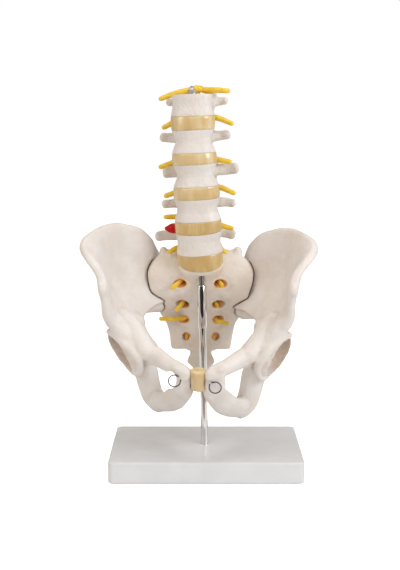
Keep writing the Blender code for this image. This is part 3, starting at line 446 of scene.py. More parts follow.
def vertebra_shells(level):
    """The shells of one lumbar vertebra in its body frame."""
    width = WIDTHS[level]
    half = BODY_HEIGHT / 2
    waist, top = WAIST_SHARES[level], TOP_SHARES[level]
    body = [(-half - 2, 0.98), (-half + 1, 1), (-0.55 * half, (1 + waist) / 2), (-0.15 * half, waist),
            (0.25 * half, waist), (0.6 * half, (top + waist) / 2), (half - 1, top), (half + 2, top - 0.02)]
    low, high = RISES[level]
    risen = [(z + low + (high - low) * (z / BODY_HEIGHT + 0.5), share) for z, share in body]
    shells = [skin([kidney(width * share, BODY_DEPTH * share, z) for z, share in risen])]
    shells.append(strut([
        (0, ARCH_BACK - 4, -4, 3.4, 8), (0, ARCH_BACK + 8, -7, 3.2, 9), (0, SPINE_BACK - 8, -9, 3.4, 10.5),
        (0, SPINE_BACK - 3, -10, 4.2, 11)]))
    side = [
        strut([(PEDICLE_OUT - 3, 10, 5, 5, 7.5), (PEDICLE_OUT, 21, 5, 4.6, 7),
               (PEDICLE_OUT + 1, 31, 3, 5, 7)]),
        strut([
            (FACET_OUT + 1, 33, FACET_TOP - 5, 4.2, 5.5), (FACET_OUT, 33, 9, 5.2, 6),
            (FACET_OUT - 3, 35, -5, 5, 5.5), (FACET_OUT - 7, 38.5, -16, 5, 5),
            (FACET_OUT - 7.5, 39.5, FACET_LOW + 4, 4.4, 4)]),
        strut([(FACET_OUT - 4, 36, -2, 8, 3.4), (8, ARCH_BACK - 3, -5, 9, 3.2), (0, ARCH_BACK, -7, 8, 3.2)],
              across=(0, 0, 1)),
    ]
    for table in (RIGHT_WINGS, LEFT_WINGS):
        reach, rise, tip = table.get(level, TRANSVERSE[level])
        wing = [strut([(PEDICLE_OUT, 28, 4, 7, 5),
                       (0.7 * reach, 31, 4 + 0.45 * (rise - 4), 1.05 * tip, 3.4),
                       (reach - 3, 28, rise, tip, 3)], across=(0, 0, 1))]
        shells += wing if table is RIGHT_WINGS else mirrored(wing)
    return shells + side + mirrored(side)


def sacrum_shells():
    """The sacrum and coccyx, moulded in one piece, in the pelvis frame."""
    top = endplate_pose()
    body = [(5.5, 0.97), (2.5, 0.99), (-1, 1), (-6, 0.93), (-14, 0.86), (-SACRAL_DEPTH, 0.84)]
    rings = [[top @ Vector(p) for p in kidney(ENDPLATE_WIDTH * s, BODY_DEPTH * s, z)] for z, s in body]
    shells = [skin(rings)]
    shells.append(strut([
        (0, 22, -4, 25, 14), (0, 30, -20, 23, 12.5), (0, 38, -36, 20, 10.5), (0, 44.5, -52, 18, 8.5),
        (0, 48, -68, 17, 7.5), (0, 48, -84, 16, 6.5), (0, 46, -93, 15, 5.8), (0, 43.5, -99, 13.5, 5),
        (0, 40.5, -105, 16.5, 4.6), (0, 38, -110, 17.5, 4.2), (0, 34, -117, 9, 3.6), (0, 28, -124, 5, 3)]))
    # Wings: height, half width, front face at the rim, thickness at the rim
    levels = [(27, 41, 22, 10), (20, 50, 14.5, 16), (14, 56, 10.5, 20), (3, 61.5, 8, 25), (-8, 61, 8.5, 26),
              (-21, 57.5, 13, 24), (-36, 52, 24, 18), (-49, 48.5, 33, 14), (-63, 41, 39, 10),
              (-77, 38, 42, 8.5), (-90, 36.5, 43, 7.5), (-95, 35.5, 42.5, 6.5)]
    level_at = on_curve(levels, 4)

    def wing_middle(u, v):
        height, half, front, thick = level_at(v)
        across = 2 * u - 1
        hollow = 5 * (1 - across**2) * max(0, 1 - 1.6 * v)
        return Vector((across * half, front + thick / 2 + hollow, height))

    def wing_thickness(u, v):
        return level_at(v)[3] * (1 - 0.3 * (2 * u - 1) ** 4)

    shells.append(sheet(wing_middle, wing_thickness, 16, 30))
    shells.append(strut([(0, 50, 5, 30, 5), (0, 54, -10, 29, 5), (0, 57, -26, 26, 5), (0, 58.5, -42, 22, 5),
                         (0, 57.5, -57, 17, 4.5)]))
    shells.append(strut([(0, 60, 4, 3.2, 6), (0, 63, -14, 3.2, 6), (0, 65, -30, 3, 5.5), (0, 64, -46, 3, 5),
                         (0, 60, -60, 3, 4)]))
    side = [
        strut([(36, 24, 6, 8, 7), (42, 24, 18, 6.5, 6.5), (43.5, 24, 27, 5.4, 5.6)]),
        strut([(25, 40, 4, 8, 7), (24, 40, 20, 6, 5.5), (FACET_OUT + 3, 40, 33, 4.6, 5)]),
        strut([(29, 38, 4, 8, 9), (29, 44, -12, 8, 9), (26, 49, -28, 7, 8), (22, 52, -44, 6, 7),
               (18, 53, -60, 5, 6)]),
        strut([(13, 50, -84, 3, 4), (15, 49, -96, 2.6, 3)]),
    ]
    return shells + side + mirrored(side)


# Openings of the sacrum, a pair for each row: side, front of the tunnel, height, half width, half height
FORAMINA = ((23, 5, -11, 7.5, 5.2), (19, 21, -36.5, 7, 6), (19.7, 32, -57.3, 6.4, 5.8),
            (16.3, 39, -78, 4.2, 5.4))

# The lowest pair ends blind, this far behind its front
BLIND_DEPTH = 5.5
SACRAL_CANAL = ((0, 30, 36, 12, 7), (0, 37, 14, 12, 7), (0, 43, -6, 11, 6), (0, 47.5, -24, 9, 5),
                (0, 51, -42, 7, 4), (0, 53, -60, 5, 3), (0, 53, -72, 4, 2.6))


def sacrum_hollows():
    """The canal and the four pairs of openings, as cutters in the pelvis frame."""
    cuts = [strut(SACRAL_CANAL, sides=10)]
    side = []
    for out, front, height, wide, high in FORAMINA:
        mouth = [(out + 5, front - 8, height - 3, 1.5 * wide, 1.3 * high),
                 (out + 1, front + 5, height, wide, high)]
        if (out, front, height, wide, high) == FORAMINA[-1]:
            tunnel = [(out, front + BLIND_DEPTH, height + 1, 0.8 * wide, 0.8 * high)]
        else:
            tunnel = [(out - 3, front + 14, height + 3, 0.7 * wide, 0.8 * high),
                      (out - 2, front + 30, height + 5, 3.2, 3.2), (out, front + 50, height + 6, 3.4, 3.4)]
        side.append(strut(mouth + tunnel, sides=10))
    return cuts + side + mirrored(side)


# Crest of the ilium from its front spine to its rear spine: x, y, z, half width, half height
CREST = ((103, -80, -4, 4.6, 6), (107, -73, 11, 4.6, 5), (116, -65, 23, 4.8, 5),
         (126.5, -51, 36.5, 5.5, 5.5), (124, -41, 45, 5, 5), (117, -29, 50, 4.6, 4.6),
         (108.5, -15, 54, 4.5, 4.5), (98, -2, 55, 4.5, 4.5), (86, 8, 52.5, 4.6, 4.6),
         (70.7, 19, 45.7, 5, 5), (61, 29, 32.5, 6, 6), (57, 38, 19, 7, 7), (52, 46, 9, 7.5, 7.5),
         (47, 53, 0, 8, 8), (42, 58, -9, 7.5, 7.5))

# Root of the wing from the lower front spine, over the socket, to the lower rear spine
WING_ROOT = ((97, -61, -39), (93, -52, -47), (87, -40, -52), (81, -26, -53), (75.5, -11, -51),
             (71, 2, -46.5), (65.5, 13, -43), (58, 24, -40.5), (51, 35, -40))
FOSSA_DEPTH = 7

# How far the wing draws in behind its front border
FRONT_HOLLOW = 8
WING_THICKNESS = 6
ROOT_THICKNESS = 16
REAR_THICKNESS = 12
SOCKET_CENTRE = (86, -41, -82)
SOCKET_AXIS = (0.79, -0.42, -0.45)

# The cup across, along its height and in depth
SOCKET_RADII = (21, 25, 18)

# Rim of the socket, from its top over the rear and the notch below to the front
SOCKET_RIM = ((100.5, -45.5, -57.5), (99.5, -31, -62), (96, -21.5, -72), (92, -17.5, -83), (83, -20.5, -94),
              (78.5, -25, -104), (73.5, -36, -108), (67.5, -47, -106), (64.5, -57, -97), (68.5, -63, -84),
              (79, -64, -70), (91.5, -57.5, -60))
RIM_WIRE = 3.3


def hip_shells():
    """The hip bone of the model's left side, in the pelvis frame."""
    crest, root = on_curve([place[:3] for place in CREST], 6), on_curve(WING_ROOT, 6)
    outwards = Vector((0.7, 0.5, -0.5)).normalized()

    def middle(u, v):
        bulge = 16 * (v * (1 - v)) ** 2 * math.sin(math.pi * u) ** (2 if u < 0.5 else 0.7)
        waist = 9.5 * v**3 * (1 - v) * math.exp(-(((u - 0.2) / 0.14) ** 2))
        shift = FOSSA_DEPTH * bulge - FRONT_HOLLOW * waist
        return Vector(root(u)).lerp(Vector(crest(u)), v) + outwards * shift

    def thickness(u, v):
        rear = REAR_THICKNESS * max(0, u - 0.55) / 0.45
        front = math.exp(-((u / 0.16) ** 2))
        root_share = (1 - 0.6 * front) * (1 - v) ** 3
        thin = WING_THICKNESS + ROOT_THICKNESS * root_share + 3 * v**4
        return thin + rear * (1 - 0.3 * v) + 3.5 * front * v

    axis = Vector(SOCKET_AXIS).normalized()
    socket = Vector(SOCKET_CENTRE)
    return [
        sheet(middle, thickness, 36, 14),
        strut(CREST, across=(0, 0, 1)),
        # Front border with its lower spine
        strut([(103.5, -79, -6, 4.6, 6), (101.5, -73, -20, 4.6, 6), (100, -67, -33, 6, 7),
               (95.5, -60, -44, 7.5, 9)]),
        # From the lower front spine into the socket, and the smooth front between socket and brim
        strut([(95, -57, -41, 8, 11), (86, -50, -54, 11, 15), (75, -45, -68, 11, 16),
               (68, -43, -80, 12, 15)]),
        strut([(84, -42, -42, 12, 10), (76, -46, -56, 14, 10), (66, -51, -69, 13, 10),
               (56, -57, -79, 11, 9)]),
        lump((74, -23, -53), (13, 13, 11)),
        # Lower rear spine, notch and brim
        strut([(50, 32, -41.5, 10.5, 10.5), (60, 21, -41, 9.5, 9.5), (70, 6, -42, 8.5, 9),
               (73, -12, -50, 9, 9.5), (70.5, -25, -61, 9, 10.5), (62.5, -37, -71, 10, 11),
               (54, -46, -78, 10, 10)], across=(0, 0, 1)),
        strut([(84, -10, -48, 12, 14), (76, -24, -62, 12, 13), (68, -38, -74, 12, 12)], across=(0, 0, 1)),
        lump(socket - 6 * axis, (27.5, 31, 18), axis),
        loop_of(SOCKET_RIM, axis, RIM_WIRE, stretch=1.4),
        # Wall of the socket down to the ischium
        strut([(89, -22, -72, 6, 7), (85, -22.5, -85, 6.5, 8), (78, -23.5, -97, 7, 9),
               (70, -26, -107, 9, 10)]),
        # Upper branch of the pubis
        strut([(68, -34, -77, 14, 13), (57, -47, -82, 13.5, 11), (47, -58, -83, 11, 10),
               (33, -70, -89, 9.5, 8.5), (20, -79, -93.5, 9, 8.5), (17, -81, -98, 12, 8.5)], across=(0, 0, 1)),
        # Body of the pubis
        strut([(20, -80, -93, 9.5, 8.5), (19, -76.5, -105, 11.5, 8), (17.5, -70, -116.5, 12.8, 7.5),
               (17, -64, -125, 10.5, 6.5)]),
        # Flat end at the disc
        strut([(13, -79.5, -93, 5.5, 4.5), (13, -78.5, -101, 6, 6), (13, -76, -109, 6, 6),
               (13, -73.5, -115, 5, 5)]),
        # Lower branch
        strut([(17.5, -69, -119, 12.5, 6.5), (25.3, -56, -130.4, 14.2, 6), (34.2, -41, -140.5, 14.6, 6.5),
               (46.5, -23, -146, 14, 10.5)], across=(0.77, 0, 0.64)),
        # Ischium
        strut([(70, -32, -92, 15, 16), (62, -23, -108, 14.5, 13), (59, -18, -124, 13.5, 12),
               (54.5, -14, -140, 13, 12), (46.5, -18, -149.5, 12, 11)]),
        # Rear column between the notches
        strut([(70, -10, -66, 10, 13), (66, -6, -84, 7.5, 11), (65, -12, -102, 8, 10)]),
        strut([(64, -4, -86, 5, 5), (57, 7, -88, 3.4, 3.6), (52, 13, -89, 1.8, 2)], across=(0, 0, 1)),
        lump((24, -85.5, -90), (5, 4, 4)),
        lump((103, -82, -4), (5, 5, 7.5)),
    ]


def socket_middle():
    """Middle of the cup of the socket, in the pelvis frame."""
    return Vector(SOCKET_CENTRE) + 1.5 * Vector(SOCKET_AXIS).normalized()


def hip_hollows():
    """The hip socket and its notch, as cutters in the pelvis frame."""
    axis = Vector(SOCKET_AXIS).normalized()
    socket = Vector(SOCKET_CENTRE)
    low = socket + 0.7 * SOCKET_RADII[1] * (Vector((0, 0.1, -1)) + 0.5 * axis).normalized()
    return [
        lump(socket_middle(), SOCKET_RADII, axis),
        strut([(*(low - 6 * axis), 4.5, 4), (*(low + 9 * axis), 5, 4.5)], across=(0, 1, 0)),
    ]


# Disc between the pubic bones, from its top down: x, y, z, share of the half width, half depth
SYMPHYSIS = ((0, -82.6, -91, 0.9, 3), (0, -82, -93, 1.04, 7), (0, -80.5, -97, 1.08, 8),
             (0, -79, -101.5, 1, 8), (0, -77.5, -105, 0.94, 8), (0, -76, -109, 1, 8),
             (0, -74, -112.8, 1, 7.3), (0, -73, -114.6, 0.86, 3))

# Wire rings on the front of the pubic bones: centre, angle at which the wire enters the bone, lean
RINGS = {"right": ((-25.5, -87.4, -102.5), 25, 0), "left": ((18.8, -90.4, -109), 145, 0.2)}


def cylinder(start, end, radius, sides=12):
    """A straight round bar as a shell."""
    start, end = Vector(start), Vector(end)
    turn = (end - start).to_track_quat("Z", "Y")
    rings = []
    for centre in (start, end):
        ring = []
        for k in range(sides):
            a = 2 * math.pi * k / sides
            ring.append(centre + turn @ Vector((radius * math.cos(a), radius * math.sin(a), 0)))
        rings.append(ring)
    return skin(rings)


def end_face(pose, side):
    """Middle of the upper (1) or lower (-1) face of a vertebral body."""
    return pose @ Matrix.Translation((0, 0, side * BODY_HEIGHT / 2))


def cord_stations(poses):
    """The cord down the canal, as x, y, z and radius in the pelvis frame."""
    stations = [poses["L1"] @ Vector((0, CANAL_BACK, CORD_ABOVE))]
    stations += [poses[level] @ Vector((0, CANAL_BACK, 0)) for level in reversed(ORDER)]
    rows = [(*place, CORD_RADIUS, CORD_RADIUS) for place in stations]
    return rows + [(0, 33, 27, 4.4, 4.4), (0, 38.5, 8, 4, 4), (0, 43, -8, 3.4, 3.4), (0, 46, -20, 2.6, 2.6)]


# Burst jelly of the disc over the fifth vertebra, in the frame of that vertebra's upper face
PROLAPSE = ((-20, 6, 7, 4.5, 4.5), (-27.5, 7, 7, 6, 5.2), (-32.5, 8, 7, 4.8, 4.2),
            (-36, 8.5, 7.3, 2.4, 2.2))

# Nerve roots of the column in the frame of the vertebra above: where each leaves the bone, and its tip
LUMBAR_ROOTS = {
    "T12": ("L1", ((5, 23, 18.5), (-18, 22, 16), (-40, 19, 9)),
            ((11, 26.5, 17), (22, 22, 17), (37.5, 19, 15.5))),
    "L1": ("L1", ((-16, 22, -15), (-26, 20, -18), (-37, 18, -23.2)),
           ((16, 22, -14), (24, 20, -14), (41.3, 17, -20.7))),
    "L2": ("L2", ((-16, 22, -17), (-26, 20, -23), (-40, 18, -27.5)),
           ((16, 22, -17), (24, 20, -21.5), (38.8, 18, -24.6))),
    "L3": ("L3", ((-16, 22, -16), (-25, 20, -18), (-39, 18, -22)),
           ((16, 22, -15), (25, 20, -15.5), (40, 17, -22))),
    "L4": ("L4", ((-16, 22, -11), (-26.5, 19, -9.5), (-38.5, 18, -9)),
           ((16, 22, -19), (26.5, 20, -22.5), (37, 18, -25.5))),
    "L5": ("L5", ((-16, 21, -11), (-25.5, 16, -7.5), (-33, 13, -10.5)),
           ((16, 21, -13), (26, 16, -13), (34, 13, -20))),
}

# Nerve roots of the sacrum in the pelvis frame, from inside the bone to the tip
SACRAL_ROOTS = {
    "S1": (((-20, 20, -6), (-25, 6, -8.5), (-32.5, 1.5, -14.5)),
           ((20, 20, -7), (23.5, 9, -9), (26.2, 4, -12))),
    "S2": (((-17, 36, -32), (-21, 22, -35), (-28.5, 16.5, -43)),
           ((12, 39, -31), (18, 26, -35.5), (20.5, 20, -39.5))),
    "S3": (((-16, 46, -53), (-21, 31, -55), (-48, 27, -55)),
           ((15, 46, -54), (19, 31, -57.5), (32.5, 27, -60))),
    "S4": (((-16.3, 47, -76.5), (-16.8, 43.5, -77.7), (-17.4, 39.5, -80.5)),
           ((16.2, 47, -76.5), (16.3, 43.5, -77.7), (15.8, 39.5, -80.5))),
}


def twin(obj, name):
    """A copy of the object with its own mesh."""
    made = obj.copy()
    made.data = obj.data.copy()
    made.name = name
    bpy.context.scene.collection.objects.link(made)
    return made


def clear_of(obj, *others, gap=SEAT_GAP):
    """Cuts the object back from its neighbours by the gap."""
    for other in others:
        carve(obj, swollen(other, gap))
    return obj


def placed(name, shells, pose):
    """An object of the shells at a pose."""
    made = object_of(name, shells)
    made.matrix_world = pose
    return made


def ring_wire(centre, gate, lean):
    """A wire that comes out of the bone, bends round a ring and goes back in beside it."""
    rows = []
    for k, turn in enumerate([12] + [25 + 310 * i / 12 for i in range(13)] + [348]):
        a = math.radians(gate + turn)
        out, height = RING_RADIUS * math.cos(a), RING_RADIUS * math.sin(a)
        depth = RING_SHANK if k in (0, 14) else 0
        rows.append((centre[0] + out, centre[1] - lean * height + depth, centre[2] + height,
                     RING_WIRE / 2, RING_WIRE / 2))
    return strut(rows, across=(0, 1, 0), sides=6, per_span=1)


def into_row(obj):
    """Moves the object's place into its mesh."""
    obj.data.transform(obj.matrix_world)
    obj.matrix_world = Matrix.Identity(4)
    return obj


def rows_of(items, field):
    """A field of three numbers of all the items, as an array of rows."""
    flat = np.empty(len(items) * 3)
    items.foreach_get(field, flat)
    return flat.reshape(-1, 3)


def co_of(obj):
    """The object's points as an array of rows."""
    return rows_of(obj.data.vertices, "co")


def put_co(obj, points):
    """Writes the rows of an array back as the object's points."""
    obj.data.vertices.foreach_set("co", points.ravel())
    obj.data.update()


def normals_of(obj):
    """The object's point normals as an array of rows."""
    return rows_of(obj.data.vertex_normals, "vector")


def averaged(obj, values, rounds):
    """Values per point, each replaced some times by the mean over its edges."""
    ends = np.empty(len(obj.data.edges) * 2, int)
    obj.data.edges.foreach_get("vertices", ends)
    a, b = ends.reshape(-1, 2).T
    count = np.maximum(np.bincount(np.concatenate((a, b)), minlength=len(values)), 1)
    if values.ndim == 2:
        count = count[:, None]
    for _ in range(rounds):
        total = np.zeros_like(values)
        np.add.at(total, a, values[b])
        np.add.at(total, b, values[a])
        values = total / count
    return values


def hollow_of(obj, rounds, depth):
    """How far each point lies in a hollow, from 0 to 1 at that depth in millimetres."""
    points = co_of(obj)
    blurred = averaged(obj, points, rounds)
    inwards = ((blurred - points) * normals_of(obj)).sum(1)
    return np.clip(inwards / (depth * MM), -1, 1)


def write_mask(obj, name, values):
    """Keeps a value per point for the materials."""
    mask = obj.data.attributes.new(name, "FLOAT", "POINT")
    mask.data.foreach_set("value", np.asarray(values, np.float32))
    return obj


def roughened(obj, height, size, seed):
    """Moves each point along its normal by soft noise of that height and size in millimetres."""
    points, normals = co_of(obj), normals_of(obj)
    shift = Vector((seed * 17.3, seed * 5.1, seed * 9.7))
    lift = [noise.noise(Vector(p) / (size * MM) + shift) for p in points]
    put_co(obj, points + normals * (np.array(lift) * height * MM)[:, None])
    return obj


def moulded(name, shells, pose, cuts=(), voxel=1.0, rounds=12, seed=1):
    """A moulded bone at its pose, fine enough to stand close up."""
    made = fuse(object_of(name, shells), voxel, rounds)
    for cut in cuts:
        carve(made, object_of("hollow", [cut]))
    if cuts:
        fuse(made, voxel, 7)
    roughened(made, 0.5, 14, seed)
    roughened(made, 0.18, 4.5, seed + 3)
    made.matrix_world = pose
    return made


def carried(obj, finish_material, slot_name, *nodes, angle=60):
    """Finishes a piece, and lets it stand for the CAD nodes."""
    into_row(obj)
    obj.data.materials.clear()
    obj.data.materials.append(finish_material)
    obj.data.shade_smooth()
    obj.data.set_sharp_from_angle(angle=math.radians(angle))
    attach(obj, "root")
    if nodes:
        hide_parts(*nodes)
    return obj


def lathe(name, profile, sides=64, closed=False):
    """A round piece from radius and height pairs. A closed profile makes a tube."""
    shell = bmesh.new()
    loops = []
    for k in range(sides):
        a = 2 * math.pi * k / sides
        ring = [Vector((r * math.cos(a), r * math.sin(a), z)) * MM for r, z in profile]
        loops.append([shell.verts.new(place) for place in ring])
    for k, loop in enumerate(loops):
        after = loops[(k + 1) % sides]
        for i in range(len(profile) - (0 if closed else 1)):
            j = (i + 1) % len(profile)
            shell.faces.new((loop[i], after[i], after[j], loop[j]))
    bmesh.ops.remove_doubles(shell, verts=shell.verts, dist=1e-7)
    bmesh.ops.recalc_face_normals(shell, faces=shell.faces)
    return object_of(name, [shell])


# Shader node groups


def group_with(name, inputs, outputs):
    """An empty shader node group with float, colour or vector sockets."""
    tree = bpy.data.node_groups.new(name, "ShaderNodeTree")
    kinds = {"f": "NodeSocketFloat", "c": "NodeSocketColor", "v": "NodeSocketVector"}
    for label, kind, default in inputs:
        made = tree.interface.new_socket(name=label, in_out="INPUT", socket_type=kinds[kind])
        if default is not None:
            made.default_value = default
    for label, kind in outputs:
        tree.interface.new_socket(name=label, in_out="OUTPUT", socket_type=kinds[kind])
    return tree, tree.nodes.new("NodeGroupInput"), tree.nodes.new("NodeGroupOutput")


def dial(made, **values):
    """Sets the inputs of a node. A low line in a name stands for a space."""
    for key, value in values.items():
        made.inputs[key.replace("_", " ")].default_value = value
    return made


def node(tree, kind, settings=None, **values):
    """A node with its settings and its inputs' values."""
    made = tree.nodes.new(kind)
    for key, value in (settings or {}).items():
        setattr(made, key, value)
    return dial(made, **values)


def wire_up(tree, *pairs):
    """Links each pair of an output and an input."""
    for source, target in pairs:
        tree.links.new(source, target)


def height_on(tree):
    """The height in object space, in metres."""
    place = tree.nodes.new("ShaderNodeTexCoord")
    split = tree.nodes.new("ShaderNodeSeparateXYZ")
    tree.links.new(place.outputs["Object"], split.inputs[0])
    return split.outputs["Z"]


def noise_on(tree, scale, detail=4.0, rough=0.5, stretch=(1, 1, 1)):
    """Noise in object space, in features per metre times the stretch."""
    place = tree.nodes.new("ShaderNodeTexCoord")
    mapping = node(tree, "ShaderNodeMapping", Scale=stretch)
    made = node(tree, "ShaderNodeTexNoise", Scale=scale, Detail=detail, Roughness=rough)
    wire_up(tree, (place.outputs["Object"], mapping.inputs["Vector"]),
            (mapping.outputs["Vector"], made.inputs["Vector"]))
    return made.outputs["Fac"]


def ramp(tree, source, low, high, to_low=0.0, to_high=1.0):
    """A value taken from one range to another, and kept in it."""
    made = node(tree, "ShaderNodeMapRange", {"clamp": True})
    for socket, value in zip(made.inputs[1:5], (low, high, to_low, to_high)):
        socket.default_value = value
    tree.links.new(source, made.inputs[0])
    return made.outputs[0]


def mixed(tree, share, a, b):
    """Colours a and b mixed by the share. Each may be a socket or a colour."""
    made = node(tree, "ShaderNodeMix", {"data_type": "RGBA"})
    for socket, value in ((made.inputs[0], share), (made.inputs[6], a), (made.inputs[7], b)):
        if isinstance(value, bpy.types.NodeSocket):
            tree.links.new(value, socket)
        else:
            socket.default_value = value
    return made.outputs[2]


def maths(tree, operation, a, b=0.0):
    """A Math node over sockets or numbers."""
    made = node(tree, "ShaderNodeMath", {"operation": operation})
    for socket, value in zip(made.inputs, (a, b)):
        if isinstance(value, bpy.types.NodeSocket):
            tree.links.new(value, socket)
        else:
            socket.default_value = value
    return made.outputs[0]


def mottle_group():
    """Cloudy patches and fine grain, as masks, and their height."""
    tree, entry, exit_node = group_with(
        "mottle", (("Patch scale", "f", 60.0), ("Grain scale", "f", 900.0)),
        (("Patches", "f"), ("Grain", "f"), ("Height", "f")))
    place = tree.nodes.new("ShaderNodeTexCoord")
    patches = node(tree, "ShaderNodeTexNoise", Detail=3.0, Roughness=0.55)
    grain = node(tree, "ShaderNodeTexNoise", Detail=5.0, Roughness=0.6)
    for texture, label in ((patches, "Patch scale"), (grain, "Grain scale")):
        tree.links.new(place.outputs["Object"], texture.inputs["Vector"])
        tree.links.new(entry.outputs[label], texture.inputs["Scale"])
    tree.links.new(ramp(tree, patches.outputs["Fac"], 0.35, 0.65), exit_node.inputs["Patches"])
    tree.links.new(ramp(tree, grain.outputs["Fac"], 0.3, 0.7), exit_node.inputs["Grain"])
    height = maths(tree, "ADD", maths(tree, "MULTIPLY", grain.outputs["Fac"], 0.5), patches.outputs["Fac"])
    tree.links.new(height, exit_node.inputs["Height"])
    return tree


def crevice_group():
    """The brown wash in the hollows, from the mesh's own masks, broken up by noise."""
    tree, entry, exit_node = group_with(
        "crevice", (("Strength", "f", 1.0),), (("Shade and stain", "f"), ("Dark", "f"), ("Deep", "f")))
    hollow = node(tree, "ShaderNodeAttribute", {"attribute_name": "hollow"})
    recess_shade = node(tree, "ShaderNodeAttribute", {"attribute_name": "recess_shade"})
    breakup = ramp(tree, noise_on(tree, 220.0, 3.0), 0.3, 0.7, 0.7, 1.15)
    # Brown painted shade of the hollow mask, which on the hips also holds their brown stain by the pubic disc.
    shade_and_stain = maths(tree, "MULTIPLY", ramp(tree, hollow.outputs["Fac"], 0.02, 1.0), breakup)
    shade_and_stain = maths(tree, "MULTIPLY", shade_and_stain, entry.outputs["Strength"])
    tree.links.new(ramp(tree, shade_and_stain, 0.0, 1.0), exit_node.inputs["Shade and stain"])
    # Dark painted shade from the recess mask, in the joint gaps.
    dark = maths(tree, "MULTIPLY", recess_shade.outputs["Fac"], breakup)
    tree.links.new(ramp(tree, dark, 0.1, 1.0), exit_node.inputs["Dark"])
    tunnel = node(tree, "ShaderNodeAttribute", {"attribute_name": "tunnel"})
    tree.links.new(ramp(tree, tunnel.outputs["Fac"], 0.05, 0.8), exit_node.inputs["Deep"])
    return tree


def shader_of(name, colour, roughness, metallic=0.0):
    """A material and its Principled shader."""
    made = bpy.data.materials.new(name)
    made.use_nodes = True
    shader = made.node_tree.nodes["Principled BSDF"]
    dial(shader, Base_Color=colour, Roughness=roughness, Metallic=metallic)
    made.diffuse_color = colour
    return made, made.node_tree, shader


def placed_group(tree, source, **values):
    """A shader group placed in a material."""
    return node(tree, "ShaderNodeGroup", {"node_tree": source}, **values)


def bumped(tree, shader, height, distance, strength=1.0):
    """Feeds a height, in metres times the distance, into the shader's normal."""
    bump = node(tree, "ShaderNodeBump", Distance=distance, Strength=strength)
    tree.links.new(height, bump.inputs["Height"])
    tree.links.new(bump.outputs["Normal"], shader.inputs["Normal"])


def bone_material(name, light, warm, shade_and_stain, dark, roughness, strength=1.0, relief=0.00025):
    """Satin moulded plastic, cloudy and pitted, with brown in its hollows and orange in its tunnels."""
    made, tree, shader = shader_of(name, light, roughness)
    mottle = placed_group(tree, GROUPS["mottle"], Patch_scale=38.0, Grain_scale=520.0)
    crevice = placed_group(tree, GROUPS["crevice"], Strength=strength)
    colour = mixed(tree, ramp(tree, mottle.outputs["Patches"], 0, 1, 0, 0.75), light, warm)
    grain = ramp(tree, mottle.outputs["Grain"], 0, 1, 0.0, 0.14)
    colour = mixed(tree, grain, colour, tuple(0.9 * c for c in warm[:3]) + (1,))
    # Brown painted shade in the hollows, and the hip bones' stain by the pubic disc.
    colour = mixed(tree, maths(tree, "MULTIPLY", crevice.outputs["Shade and stain"], 0.75), colour, shade_and_stain)
    # Dark painted shade in the joint gaps.
    colour = mixed(tree, crevice.outputs["Dark"], colour, dark)
    colour = mixed(tree, crevice.outputs["Deep"], colour, (0.95, 0.56, 0.20, 1))
    tree.links.new(colour, shader.inputs["Base Color"])
    rough = ramp(tree, mottle.outputs["Patches"], 0, 1, roughness - 0.05, roughness + 0.07)
    tree.links.new(rough, shader.inputs["Roughness"])
    dial(shader, Specular_IOR_Level=0.35, Subsurface_Weight=0.12, Subsurface_Radius=(0.004, 0.002, 0.001),
         Subsurface_Scale=1.0)
    pits = ramp(tree, noise_on(tree, 330.0, 2.0), 0.3, 0.6)
    height = maths(tree, "ADD", mottle.outputs["Height"], maths(tree, "MULTIPLY", pits, 0.6))
    bumped(tree, shader, height, relief)
    return made


# The discs deepen in colour between these heights above the ground, in metres
DISC_DEEPENS = (0.33, 0.26)


def gel_material(name, light, deep, roughness):
    """Cloudy amber plastic with faint upright streaks."""
    made, tree, shader = shader_of(name, light, roughness)
    streaks = ramp(tree, noise_on(tree, 110.0, 2.0, 0.6, (1, 1, 0.05)), 0.35, 0.65)
    clouds = ramp(tree, noise_on(tree, 45.0, 2.0), 0.35, 0.65)
    share = maths(tree, "ADD", maths(tree, "MULTIPLY", streaks, 0.65), maths(tree, "MULTIPLY", clouds, 0.35))
    share = maths(tree, "ADD", share, ramp(tree, height_on(tree), *DISC_DEEPENS, 0.0, 0.5))
    tree.links.new(mixed(tree, share, light, deep), shader.inputs["Base Color"])
    tree.links.new(ramp(tree, streaks, 0, 1, roughness, roughness + 0.12), shader.inputs["Roughness"])
    dial(shader, Specular_IOR_Level=0.5, Subsurface_Weight=0.5, Subsurface_Radius=(0.006, 0.0035, 0.0015),
         Subsurface_Scale=1.0, Coat_Weight=0.7, Coat_Roughness=0.12)
    bumped(tree, shader, noise_on(tree, 120.0, 2.0, 0.5, (1, 1, 0.3)), 0.0006)
    return made


def plain_plastic(name, colour, shade, roughness, bump=0.0002, scale=260.0):
    """Evenly coloured plastic with a faint mottle."""
    made, tree, shader = shader_of(name, colour, roughness)
    mottle = placed_group(tree, GROUPS["mottle"], Patch_scale=scale / 6, Grain_scale=scale * 4)
    share = ramp(tree, mottle.outputs["Patches"], 0, 1, 0, 0.8)
    tree.links.new(mixed(tree, share, colour, shade), shader.inputs["Base Color"])
    tree.links.new(ramp(tree, mottle.outputs["Grain"], 0, 1, roughness - 0.04, roughness + 0.06),
                   shader.inputs["Roughness"])
    bumped(tree, shader, mottle.outputs["Height"], bump)
    return made


def nerve_material():
    """Yellow soft plastic that turns orange where it lies deep in a bone."""
    made, tree, shader = shader_of("nerve yellow", (0.90, 0.62, 0.04, 1), 0.38)
    mottle = placed_group(tree, GROUPS["mottle"], Patch_scale=150.0, Grain_scale=1200.0)
    depth = node(tree, "ShaderNodeAttribute", {"attribute_name": "recess_shade"})
    colour = mixed(tree, mottle.outputs["Patches"], (0.92, 0.64, 0.05, 1), (0.84, 0.52, 0.02, 1))
    # Painted shade: dark orange where the nerve lies deep in a hole of the bone.
    colour = mixed(tree, depth.outputs["Fac"], colour, (0.68, 0.25, 0.012, 1))
    tree.links.new(colour, shader.inputs["Base Color"])
    bumped(tree, shader, mottle.outputs["Height"], 0.0003)
    return made


